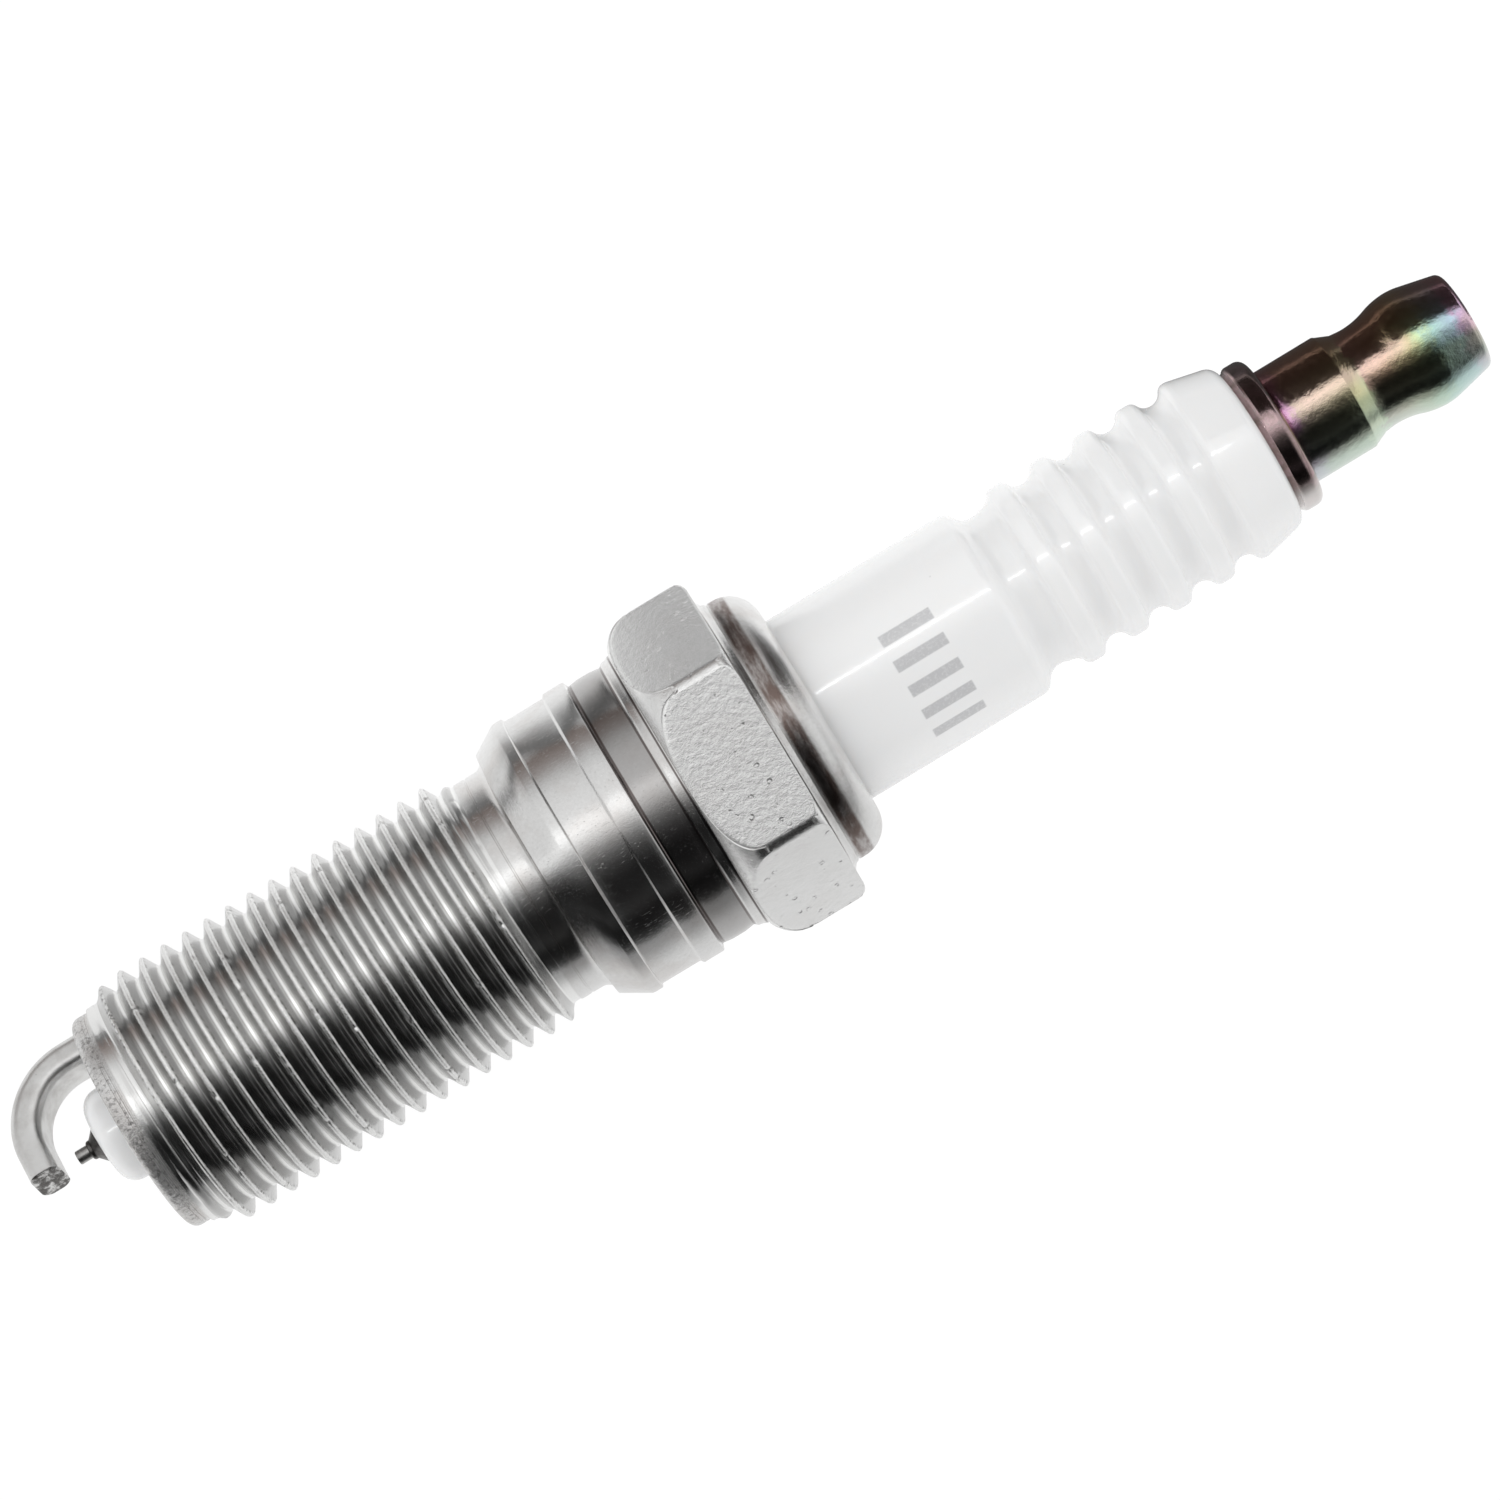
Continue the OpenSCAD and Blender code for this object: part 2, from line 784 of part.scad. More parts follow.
module ground_electrode() {
    mid_bend_r = strap_bend_r - strap_thickness / 2;
    bend_x = strap_leg_r - mid_bend_r;
    bend_z = strap_outer_z + strap_bend_r;
    color(SATIN)
        lay_along_x()
            at_strap_angle() {
                translate([strap_leg_r, 0, bend_z])
                    linear_extrude(height = shell_front_z - bend_z)
                        strap_section();
                translate([bend_x, 0, bend_z])
                    rotate([-90, 0, 0])
                        rotate_extrude(angle = 90)
                            translate([mid_bend_r, 0])
                                strap_section();
                translate([-strap_past_axis, 0, strap_outer_z + strap_thickness / 2])
                    rotate([0, 90, 0])
                        linear_extrude(height = bend_x + strap_past_axis)
                            strap_section();
            }
}

// ---------- what is drawn ----------

shell();
insulator();
seat_packing_ring();
lower_crimp_ring();
talc_fill();
upper_crimp_ring();
terminal_stud();
terminal_nut();
upper_glass_seal();
resistor();
lower_glass_seal();
centre_electrode();
electrode_core();
tip_weld();
fine_wire();
ground_electrode();
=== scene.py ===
"""Looks of a spark plug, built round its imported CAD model.

The row frame has +X towards the terminal, with X = 0 in the gauge plane of the conical seat, and +Z up.
Outlines are lists of (radius, station) in millimetres, as in the part's own drawing, where a station is a
place along X. Sizes named here are in millimetres too, and meshes are scaled to metres as they are made.
"""
import functools
import json
import math

import bmesh
import bpy
import numpy as np
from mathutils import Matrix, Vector


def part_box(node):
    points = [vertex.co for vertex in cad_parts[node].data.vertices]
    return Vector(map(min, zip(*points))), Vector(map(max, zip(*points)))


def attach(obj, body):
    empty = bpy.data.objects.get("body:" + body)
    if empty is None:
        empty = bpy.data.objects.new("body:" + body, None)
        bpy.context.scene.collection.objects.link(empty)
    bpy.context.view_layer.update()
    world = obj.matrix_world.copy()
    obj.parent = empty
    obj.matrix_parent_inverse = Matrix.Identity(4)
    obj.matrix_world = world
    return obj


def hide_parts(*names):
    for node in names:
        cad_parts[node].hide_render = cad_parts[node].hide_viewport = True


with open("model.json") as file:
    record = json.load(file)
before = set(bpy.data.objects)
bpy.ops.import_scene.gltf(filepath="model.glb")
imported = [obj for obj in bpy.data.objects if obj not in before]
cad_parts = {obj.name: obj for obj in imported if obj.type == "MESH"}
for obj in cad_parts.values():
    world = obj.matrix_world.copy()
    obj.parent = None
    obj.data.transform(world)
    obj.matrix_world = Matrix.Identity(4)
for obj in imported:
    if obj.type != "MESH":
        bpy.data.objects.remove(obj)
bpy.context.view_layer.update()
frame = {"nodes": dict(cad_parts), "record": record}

MM = 0.001
TURN = 2 * math.pi


# ---------- sizes taken from the frame ----------

def reach_of(node):
    """Lowest station, highest station and largest radius of a CAD node."""
    low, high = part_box(node)
    return low.x / MM, high.x / MM, max(high.y, high.z, -low.y, -low.z) / MM


SHELL_FRONT, CRIMP_TOP, HEX_CORNER_R = reach_of("shell")
NOSE_FRONT, INSULATOR_TOP, FLANGE_R = reach_of("insulator")
STUD_FOOT, STUD_END, STUD_FLANGE_R = reach_of("terminal_stud")
NUT_FRONT, TERMINAL_TOP, NUT_BARREL_R = reach_of("terminal_nut")
WIRE_FRONT, WIRE_BACK, WIRE_R = reach_of("fine_wire")
STRAP_OUTER = reach_of("ground_electrode")[0]
MOUNTS = {mount["name"]: mount for mount in frame["record"]["mounts"]}
HALF_FLATS = MOUNTS["hex_upper_flat"]["pos_m"][2] / MM
GRIP_R = MOUNTS["boot_grip"]["dims"]["r_mm"]
THREAD_R = MOUNTS["shell_thread"]["dims"]["r_mm"]
GAUGE_R = MOUNTS["taper_seat"]["dims"]["r_mm"]


# ---------- outlines and meshes ----------

def arc(centre_r, centre_x, radius, start, end, steps):
    """Points on an arc in the (radius, station) plane, from one angle in degrees to another."""
    angles = [math.radians(start + (end - start) * i / steps) for i in range(steps + 1)]
    return [(centre_r + radius * math.cos(a), centre_x + radius * math.sin(a)) for a in angles]


def even_columns(count):
    """Angles of evenly spaced columns round the axis."""
    return np.arange(count) * TURN / count


def ring_points(radii, stations, angles):
    """Points round the axis: angle 0 is +Y and a quarter turn is +Z."""
    radii, stations, angles = np.broadcast_arrays(radii, stations, angles)
    return np.stack([stations, radii * np.cos(angles), radii * np.sin(angles)], axis=-1)


def grid_faces(rows, columns, wrap_rows, wrap_columns):
    """Corner numbers of the squares of a grid of points, row by row."""
    row = np.arange(rows if wrap_rows else rows - 1)
    column = np.arange(columns if wrap_columns else columns - 1)
    row, column = np.meshgrid(row, column, indexing="ij")
    next_row, next_column = (row + 1) % rows, (column + 1) % columns
    corners = [row * columns + column, next_row * columns + column,
               next_row * columns + next_column, row * columns + next_column]
    return np.stack(corners, axis=-1).reshape(-1, 4)


def placed(name, data):
    """A new object in the scene."""
    made = bpy.data.objects.new(name, data)
    bpy.context.scene.collection.objects.link(made)
    return made


def solid(name, patches, sharp_angle=35):
    """One closed mesh from patches of (points, faces): points that meet are made one, normals face out."""
    points, faces, count = [], [], 0
    for patch_points, patch_faces in patches:
        flat = patch_points.reshape(-1, 3)
        points.append(flat)
        faces.append(patch_faces + count)
        count += len(flat)
    mesh = bpy.data.meshes.new(name)
    mesh.from_pydata((np.vstack(points) * MM).tolist(), [], np.vstack(faces).tolist())
    work = bmesh.new()
    work.from_mesh(mesh)
    bmesh.ops.remove_doubles(work, verts=work.verts, dist=1e-6)
    bmesh.ops.recalc_face_normals(work, faces=work.faces)
    work.to_mesh(mesh)
    work.free()
    mesh.polygons.foreach_set("use_smooth", [True] * len(mesh.polygons))
    mesh.set_sharp_from_angle(angle=math.radians(sharp_angle))
    return placed(name, mesh)


def turned_patch(outline, angles, closed):
    """The skin of an outline turned round the axis. A closed outline joins its last point to its first."""
    points = np.stack([ring_points(r, x, angles) for r, x in outline])
    return points, grid_faces(len(outline), len(angles), closed, True)


def turned(name, outline, columns):
    """A solid of revolution. An outline that starts and ends on the axis isn't closed round."""
    closed = outline[0][0] > 0
    return solid(name, [turned_patch(outline, even_columns(columns), closed)])


def helix_patch(angles, pitch, form, start, front, back, radius_at):
    """A thread's skin between two plain rings. Rows follow the helix and stop at the two stations.

    form is a list of (share of the pitch, height) and radius_at(height, station, turn) gives the radius.
    """
    turns = math.ceil((back - start) / pitch) + 1
    full_turn = np.append(angles, angles[0] + TURN)
    rows = []
    for turn in range(turns):
        for share, height in form:
            path = start + pitch * (turn + share + full_turn / TURN)
            stations = np.clip(path, front, back)
            radii = radius_at(height, stations, turn + full_turn / TURN)
            rows.append(ring_points(radii, stations, full_turn))
    points = np.stack(rows)
    return points, grid_faces(len(rows), len(full_turn), False, False)


def thread_form(depth, pitch, crest_flat, root_round):
    """A 60 degree thread: root, flank, crest, flank. Heights run from 0 to 1, and corners are eased."""
    flank = depth * math.tan(math.radians(30)) / pitch
    crest = crest_flat / pitch
    ease = root_round / pitch
    rise = ease / flank * 0.35
    root = 1 - 2 * flank - crest
    root_out = [(0.0, 0.0), (root - ease, 0.0), (root - ease * 0.3, rise * 0.2),
                (root + ease * 0.5, rise * 1.6)]
    flank_up = [(root + flank * height, height) for height in (0.35, 0.65, 0.92)]
    rounded = ((0.05, 0.965), (0.25, 0.99), (0.5, 1.0), (0.75, 0.99), (0.95, 0.965))
    top = [(root + flank + crest * share, height) for share, height in rounded]
    flank_down = [(1 - flank * height, height) for height in (0.92, 0.65, 0.35)]
    root_in = [(1 - ease * 0.5, rise * 1.6), (1 - ease * 0.1, rise * 0.2)]
    return root_out + flank_up + top + flank_down + root_in


def run_out(stations, front, back, front_length, back_length):
    """A thread's share of its full height: 1 in the middle, falling to 0 at each end over its own length."""
    rising = np.clip((stations - front) / front_length, 0, 1)
    falling = np.clip((back - stations) / back_length, 0, 1)
    return rising * falling


# ---------- shell ----------

RIM_R = 6.00
RIM_ROUND = 0.45
RIM_GROOVES = (-24.28, -24.08)
RIM_GROOVE_DEPTH = 0.05
NOSE_BORE_R = 4.05
LEDGE_R = 3.75
BODY_BORE_R = 4.60
FLANGE_BORE_R = 6.10

THREAD_ROOT_R = 6.15
THREAD_PITCH = 1.25
THREAD_CREST_FLAT = 0.15
THREAD_ROOT_ROUND = 0.08
THREAD_FRONT = SHELL_FRONT + 1.1
THREAD_BACK = -2.55
CREST_AT_Y = -22.81
NICK_COUNT = 260
NICK_SEED = 7

NECK_R = 6.21
NECK_LINE_R = NECK_R - 0.05
NECK_FILLET = 0.6
SEAT_SLOPE = math.tan(math.radians(31.5))
SEAT_FRONT = -0.75
SEAT_BACK = 0.62

BAND_R = 7.62
RING_R = 7.80
GROOVE_R = 7.45
GROOVE_CROWN = 0.08
GROOVE_FRONT = 4.88
GROOVE_BACK = 6.74

HEX_FRONT = 7.42
HEX_BACK = 12.42
HEX_FRONT_ROUND = 2.0
HEX_FRONT_MIDDLE = HEX_FRONT + 1.83
HEX_BACK_ROUND = 0.55
HEX_EDGE = 0.06
CRIMP_R = 7.40
CRIMP_ROLL = 1.75
LIP_ROUND = 0.12


def hex_columns():
    """Angles of the columns: even over each flat, with a narrow corner between two flats."""
    half = math.acos(HALF_FLATS / HEX_CORNER_R)
    over_flat = np.linspace(-half, half, 59)
    corner = np.array([math.radians(30)])
    one_side = np.concatenate([over_flat, corner])
    return np.concatenate([one_side + math.radians(90 + 60 * side) for side in range(6)])


def shell_front():
    """From the rim's bore edge round the rim, over the fine grooves, to where the thread starts."""
    rim = arc(RIM_R - RIM_ROUND, SHELL_FRONT + RIM_ROUND, RIM_ROUND, -90, 0, 8)
    grooves = []
    for middle in RIM_GROOVES:
        grooves += [(RIM_R, middle - 0.07), (RIM_R - RIM_GROOVE_DEPTH, middle - 0.03),
                    (RIM_R - RIM_GROOVE_DEPTH, middle + 0.02), (RIM_R, middle + 0.05)]
    end = [(RIM_R, THREAD_FRONT - 0.03), (RIM_R + 0.05, THREAD_FRONT - 0.01), (THREAD_ROOT_R, THREAD_FRONT)]
    return [(NOSE_BORE_R + 0.10, SHELL_FRONT)] + rim + grooves + end


def shell_seat():
    """The neck with its fine line, and the conical seat."""
    neck = [(THREAD_ROOT_R, THREAD_BACK), (NECK_R - 0.01, THREAD_BACK + 0.005), (NECK_R, THREAD_BACK + 0.03)]
    line = [(NECK_R, -2.0), (NECK_LINE_R, -1.95), (NECK_LINE_R, -1.91), (NECK_R, -1.86)]
    fillet = arc(NECK_R + NECK_FILLET, -1.35, NECK_FILLET, 180, 124, 6)
    front_r, back_r = GAUGE_R + SEAT_FRONT * SEAT_SLOPE, GAUGE_R + SEAT_BACK * SEAT_SLOPE
    cone = [(front_r - 0.02, SEAT_FRONT - 0.05), (front_r + 0.03, SEAT_FRONT + 0.03), (GAUGE_R, 0.0),
            (back_r, SEAT_BACK), (back_r + 0.01, SEAT_BACK + 0.08), (RING_R, SEAT_BACK + 0.14)]
    return neck + line + fillet + cone


def shell_waist():
    """The first ring, the band, the second ring, the crowned groove and the collar under the hex."""
    crown = [(0.04, 5.15), (0.075, 5.45), (GROOVE_CROWN, 5.80), (0.075, 6.15), (0.03, 6.50)]
    return [
        (RING_R, 1.17), (RING_R - 0.04, 1.22), (BAND_R + 0.02, 1.27), (BAND_R, 1.32),
        (BAND_R, 3.44), (BAND_R + 0.03, 3.50), (RING_R - 0.03, 3.58), (RING_R, 3.64),
        (RING_R, GROOVE_FRONT - 0.18), (RING_R - 0.04, GROOVE_FRONT - 0.10),
        (GROOVE_R + 0.03, GROOVE_FRONT), (GROOVE_R, GROOVE_FRONT + 0.05),
        *[(GROOVE_R + rise, station) for rise, station in crown],
        (GROOVE_R, GROOVE_BACK - 0.06), (GROOVE_R + 0.03, GROOVE_BACK),
        (BAND_R - 0.02, GROOVE_BACK + 0.12), (BAND_R, GROOVE_BACK + 0.18),
        (BAND_R + 0.04, HEX_FRONT - 0.30), (BAND_R + 0.06, HEX_FRONT - 0.25),
        (BAND_R + 0.14, HEX_FRONT - 0.05), (BAND_R + 0.15, HEX_FRONT),
    ]


def hex_rows(angles):
    """Rows over the hex: each column runs over the turned front, along its flat and over the back."""
    from_flat = (angles - math.radians(90) + math.radians(30)) % math.radians(60) - math.radians(30)
    side_r = np.minimum(HALF_FLATS / np.cos(from_flat), HEX_CORNER_R)
    front_r = HEX_CORNER_R - HEX_FRONT_ROUND
    back_r, back_middle = HEX_CORNER_R - HEX_BACK_ROUND, HEX_BACK - HEX_BACK_ROUND
    first = math.asin((HEX_FRONT_MIDDLE - HEX_FRONT) / HEX_FRONT_ROUND)
    last = np.arccos(np.clip((side_r - front_r) / HEX_FRONT_ROUND, -1, 1))
    side_front = HEX_FRONT_MIDDLE - HEX_FRONT_ROUND * np.sin(last)
    turn_back = np.arccos(np.clip((side_r - back_r) / HEX_BACK_ROUND, 0, 1))
    side_back = back_middle + HEX_BACK_ROUND * np.sin(turn_back)
    rows = []
    for share in (0.0, 0.15, 0.3, 0.45, 0.6, 0.75, 0.88, 0.96):
        a = first + (last - first) * share
        rows.append((front_r + HEX_FRONT_ROUND * np.cos(a), HEX_FRONT_MIDDLE - HEX_FRONT_ROUND * np.sin(a)))
    for inward, along in ((0.055, 0.03), (0.028, 0.09), (0.010, 0.16), (0.002, 0.23)):
        rows.append((side_r - inward, side_front + along))
    for share in (0.07, 0.14, 0.25, 0.4, 0.55, 0.7, 0.83, 0.92, 0.97):
        rows.append((side_r, side_front + (side_back - side_front) * share))
    rows.append((side_r, side_back - HEX_EDGE))
    rows.append((side_r - HEX_EDGE * 0.3, side_back - HEX_EDGE * 0.3))
    for share in (0.15, 0.4, 0.7, 1.0):
        a = turn_back + (math.pi / 2 - turn_back) * share
        r = np.where(side_r > back_r, back_r + HEX_BACK_ROUND * np.cos(a), side_r - HEX_EDGE * share)
        x = np.where(side_r > back_r, back_middle + HEX_BACK_ROUND * np.sin(a), HEX_BACK)
        rows.append((r, x))
    rows.append((np.full_like(angles, CRIMP_R + 0.44), np.full_like(angles, HEX_BACK)))
    return rows


def shell_crimp():
    """The short neck above the hex, the rolled crimp and its lip against the insulator."""
    neck = ((0.38, 0.02), (0.30, 0.07), (0.10, 0.21), (0.04, 0.36), (-0.04, 0.42), (-0.03, 0.46), (0.0, 0.50))
    roll = arc(CRIMP_R - CRIMP_ROLL, CRIMP_TOP - CRIMP_ROLL, CRIMP_ROLL, 0, 90, 16)
    lip = arc(GRIP_R + 0.02 + LIP_ROUND, CRIMP_TOP - LIP_ROUND, LIP_ROUND, 90, 180, 4)
    under_lip = [(GRIP_R - 0.18, CRIMP_TOP - 0.75)]
    return [(CRIMP_R + out, HEX_BACK + along) for out, along in neck] + roll + lip + under_lip


def shell_bore():
    """The bore, from under the lip past the ledge to the rim."""
    return [(FLANGE_BORE_R, 14.20), (FLANGE_BORE_R, 3.40), (BODY_BORE_R, 2.40), (BODY_BORE_R, -11.41),
            (LEDGE_R, -11.90), (LEDGE_R, -13.0), (NOSE_BORE_R, -13.5), (NOSE_BORE_R, -20.0),
            (NOSE_BORE_R, SHELL_FRONT + 0.13), (NOSE_BORE_R + 0.02, SHELL_FRONT + 0.05)]


def thread_nicks():
    """Small dents along the thread's crest: turn, width in turns and depth."""
    rng = np.random.default_rng(NICK_SEED)
    turns = rng.uniform(0, 22, NICK_COUNT)
    widths = rng.uniform(0.0016, 0.006, NICK_COUNT)
    depths = rng.uniform(0.02, 0.10, NICK_COUNT)
    return turns, widths, depths


def crest_wear(turn, nicks):
    """How far the crest is dented in at each turn of the helix: the deepest nick, or a slight ripple."""
    turns, widths, depths = nicks
    dents = depths * np.exp(-((turn[:, None] - turns) / widths) ** 2)
    ripple = 0.012 * np.sin(turn * 61.0) * np.sin(turn * 23.7 + 1.0) + 0.008 * np.sin(turn * 171.3)
    return np.maximum(ripple, dents.max(axis=1))


def shell():
    """The whole shell as one skin: its front, the thread, and everything from the neck round to the bore."""
    angles = hex_columns()
    depth = THREAD_R - THREAD_ROOT_R
    form = thread_form(depth, THREAD_PITCH, THREAD_CREST_FLAT, THREAD_ROOT_ROUND)
    crest_share = max(form, key=lambda point: point[1])[0]
    start = CREST_AT_Y - (3 + crest_share) * THREAD_PITCH
    nicks = thread_nicks()

    def radius_at(height, stations, turn):
        lift = depth * height * run_out(stations, THREAD_FRONT + 0.2, THREAD_BACK - 0.12,
                                        front_length=1.2, back_length=0.9)
        near_crest = max(0.0, height - 0.6) / 0.4
        return THREAD_ROOT_R + lift - np.minimum(crest_wear(turn, nicks) * near_crest, lift)

    thread = helix_patch(angles, THREAD_PITCH, form, start, THREAD_FRONT, THREAD_BACK, radius_at)
    front = turned_patch(shell_front(), angles, False)
    rear = shell_seat() + shell_waist() + hex_rows(angles) + shell_crimp() + shell_bore() + shell_front()[:1]
    return solid("shell_skin", [front, thread, turned_patch(rear, angles, False)], sharp_angle=38)


# ---------- insulator ----------

NOSE_R = 2.54
NOSE_EDGE = 0.95
WIDE_NOSE_R = 3.45
BODY_R = 4.50
BARREL_SHOULDER = 0.7
RIB_R = 5.03
RIB_ROOT_R = 4.38
RIB_PITCH = 2.5
FIRST_RIB = 28.20
RIB_COUNT = 4
CREST_ROUND = 0.40
ROOT_ROUND = 0.75
FIRST_ROOT_R = RIB_ROOT_R - 0.12
FIRST_ROOT_ROUND = 0.8
TOP_ROUND = 0.75
STUD_BORE_R = 2.05
ELECTRODE_R = 1.25
ELECTRODE_BORE_R = 1.30
ELECTRODE_HEAD = -4.5


def rib_sides():
    """Slope at which a root's round meets a crest's, and half the crest's flat width."""
    rounds = CREST_ROUND + ROOT_ROUND
    slope = math.degrees(math.asin((RIB_R - CREST_ROUND - RIB_ROOT_R - ROOT_ROUND) / rounds))
    half = RIB_PITCH / 2 - rounds * math.cos(math.radians(slope))
    return slope, half


def rib_rise(x):
    """From the middle of the root before a rib up to the rib's crest."""
    slope, half = rib_sides()
    root = arc(RIB_ROOT_R + ROOT_ROUND, x - RIB_PITCH / 2, ROOT_ROUND, 180, 90 - slope, 12)
    return root + arc(RIB_R - CREST_ROUND, x - half, CREST_ROUND, -90 - slope, 0, 8)[1:]


def rib_fall(x):
    """From a rib's crest down to just before the middle of the next root."""
    slope, half = rib_sides()
    crest = arc(RIB_R - CREST_ROUND, x + half, CREST_ROUND, 0, 90 + slope, 8)
    root = arc(RIB_ROOT_R + ROOT_ROUND, x + RIB_PITCH / 2, ROOT_ROUND, 270 + slope, 180, 12)
    return crest + root[1:-1]


def insulator():
    """The nose, the body in the shell, the plain barrel, the ribs and the rounded top, and the bore."""
    head = FIRST_RIB + RIB_COUNT * RIB_PITCH
    outline = [(ELECTRODE_BORE_R, ELECTRODE_HEAD), (ELECTRODE_BORE_R, NOSE_FRONT)]
    outline += arc(NOSE_R - NOSE_EDGE, NOSE_FRONT + NOSE_EDGE, NOSE_EDGE, -90, 0, 14)
    outline += [(WIDE_NOSE_R, -13.2), (WIDE_NOSE_R, -11.72), (BODY_R, -11.12), (BODY_R, 2.50),
                (FLANGE_R, 3.50), (FLANGE_R, 10.0), (GRIP_R - 0.20, 11.05), (GRIP_R - 0.20, 14.20),
                (GRIP_R, 14.83)]
    outline += arc(GRIP_R - BARREL_SHOULDER, 24.95, BARREL_SHOULDER, 0, 50, 8)
    outline += arc(FIRST_ROOT_R + FIRST_ROOT_ROUND, 26.35, FIRST_ROOT_ROUND, 228, 180, 8)
    outline += [(FIRST_ROOT_R, 26.65)]
    for rib in range(RIB_COUNT):
        outline += rib_rise(FIRST_RIB + rib * RIB_PITCH) + rib_fall(FIRST_RIB + rib * RIB_PITCH)
    outline += rib_rise(head)
    outline += arc(RIB_R - CREST_ROUND, head - 0.1, CREST_ROUND, 2, 15, 2)
    outline += arc(3.87, INSULATOR_TOP - TOP_ROUND, TOP_ROUND, 16, 90, 10)
    outline += [(STUD_BORE_R, INSULATOR_TOP), (STUD_BORE_R, ELECTRODE_HEAD)]
    return turned("insulator_glazed", outline, columns=192)


# ---------- terminal ----------

TERMINAL_COLUMNS = 144
STUD_SHANK_R = 1.95
STUD_ROOT_R = 1.60
STUD_CREST_R = 2.0
STUD_PITCH = 0.7
FLANGE_UNDER_ROUND = 0.30
FLANGE_TOP_ROUND = 0.5

NUT_BASE_R = 3.16
NUT_WAIST_R = 2.72
NUT_BASE_END = 45.50
NUT_WAIST = 47.05
NUT_BARREL = 49.75
NUT_CREST_ROUND = 3.2
NUT_END_ROUND = 0.4
NUT_END_SLOPE = 12.8
NUT_HOLE_R = 1.65
NUT_BORE_R = 2.03
NUT_THREAD_DEPTH = 0.22


def terminal_stud():
    """The stud: foot, shank, the flange on the insulator and the M4 thread under the nut."""
    front, back = NUT_FRONT + 0.5, STUD_END - 0.4
    base = [(0, STUD_FOOT), (1.30, STUD_FOOT), (STUD_ROOT_R, STUD_FOOT + 0.4), (STUD_ROOT_R, 13.0),
            (STUD_SHANK_R, 13.0), (STUD_SHANK_R, INSULATOR_TOP), (STUD_FLANGE_R - 0.25, INSULATOR_TOP)]
    base += arc(STUD_FLANGE_R - FLANGE_UNDER_ROUND, INSULATOR_TOP + 0.45, FLANGE_UNDER_ROUND, -60, 0, 6)
    base += arc(STUD_FLANGE_R - FLANGE_TOP_ROUND, NUT_FRONT - FLANGE_TOP_ROUND, FLANGE_TOP_ROUND, 0, 90, 9)
    base += [(STUD_ROOT_R, NUT_FRONT), (STUD_ROOT_R, front)]
    angles = even_columns(TERMINAL_COLUMNS)
    depth = STUD_CREST_R - STUD_ROOT_R
    form = thread_form(depth, STUD_PITCH, crest_flat=0.12, root_round=0.04)

    def radius_at(height, stations, turn):
        share = run_out(stations, front, back - 0.05, front_length=0.35, back_length=0.5)
        return STUD_ROOT_R + depth * height * share

    thread = helix_patch(angles, STUD_PITCH, form, front - 2 * STUD_PITCH, front, back, radius_at)
    end = [(STUD_ROOT_R, back), (STUD_ROOT_R, STUD_END - 0.3), (STUD_ROOT_R - 0.3, STUD_END), (0, STUD_END)]
    patches = [turned_patch(base, angles, False), thread, turned_patch(end, angles, False)]
    return solid("terminal_stud_turned", patches, sharp_angle=40)


def nut_outline():
    """The nut's outside, from its front face over base, bevel, waist and barrel into the end hole."""
    swell, rise = NUT_BARREL_R - NUT_WAIST_R, NUT_BARREL - NUT_WAIST
    curve_r = (rise * rise / swell + swell) / 4
    curve_angle = math.degrees(math.asin(rise / curve_r / 2))
    outer = [(2.33, NUT_FRONT), (NUT_BASE_R - 0.1, NUT_FRONT), (NUT_BASE_R - 0.03, NUT_FRONT + 0.03),
             (NUT_BASE_R, NUT_FRONT + 0.1), (NUT_BASE_R, NUT_BASE_END),
             (NUT_BASE_R - 0.02, NUT_BASE_END + 0.06), (NUT_BASE_R - 0.07, NUT_BASE_END + 0.13),
             (NUT_WAIST_R + 0.10, NUT_WAIST - 0.80), (NUT_WAIST_R + 0.065, NUT_WAIST - 0.74)]
    outer += arc(NUT_WAIST_R + curve_r, NUT_WAIST, curve_r, 183, 180 - curve_angle, 14)
    outer += arc(NUT_BARREL_R - curve_r, NUT_BARREL, curve_r, -curve_angle, 0, 14)[1:]
    outer += arc(NUT_BARREL_R - NUT_CREST_ROUND, NUT_BARREL, NUT_CREST_ROUND, 0, NUT_END_SLOPE, 8)[1:]
    tilt = math.radians(NUT_END_SLOPE)
    cone_end = TERMINAL_TOP - NUT_END_ROUND * (1 - math.sin(tilt))
    cone_end_r = outer[-1][0] - (cone_end - outer[-1][1]) * math.tan(tilt)
    round_r = cone_end_r - NUT_END_ROUND * math.cos(tilt)
    outer += arc(round_r, TERMINAL_TOP - NUT_END_ROUND, NUT_END_ROUND, NUT_END_SLOPE, 90, 10)
    outer += [(NUT_HOLE_R + 0.12, TERMINAL_TOP), (NUT_HOLE_R + 0.04, TERMINAL_TOP - 0.03),
              (NUT_HOLE_R, TERMINAL_TOP - 0.12), (NUT_HOLE_R, STUD_END + 0.5)]
    return outer


def terminal_nut():
    """The nut, with a tapped bore."""
    front, back = NUT_FRONT + 0.3, STUD_END + 0.4
    angles = even_columns(TERMINAL_COLUMNS)

    def radius_at(height, stations, turn):
        share = run_out(stations, front, back, front_length=0.4, back_length=0.4)
        return NUT_BORE_R + NUT_THREAD_DEPTH * height * share

    form = thread_form(NUT_THREAD_DEPTH, STUD_PITCH, crest_flat=0.10, root_round=0.03)
    bore = helix_patch(angles, STUD_PITCH, form, front - 2 * STUD_PITCH, front, back, radius_at)
    outline = [(NUT_BORE_R, front)] + nut_outline() + [(NUT_BORE_R, back)]
    return solid("terminal_nut_plated", [turned_patch(outline, angles, False), bore], sharp_angle=32)


# ---------- firing end ----------

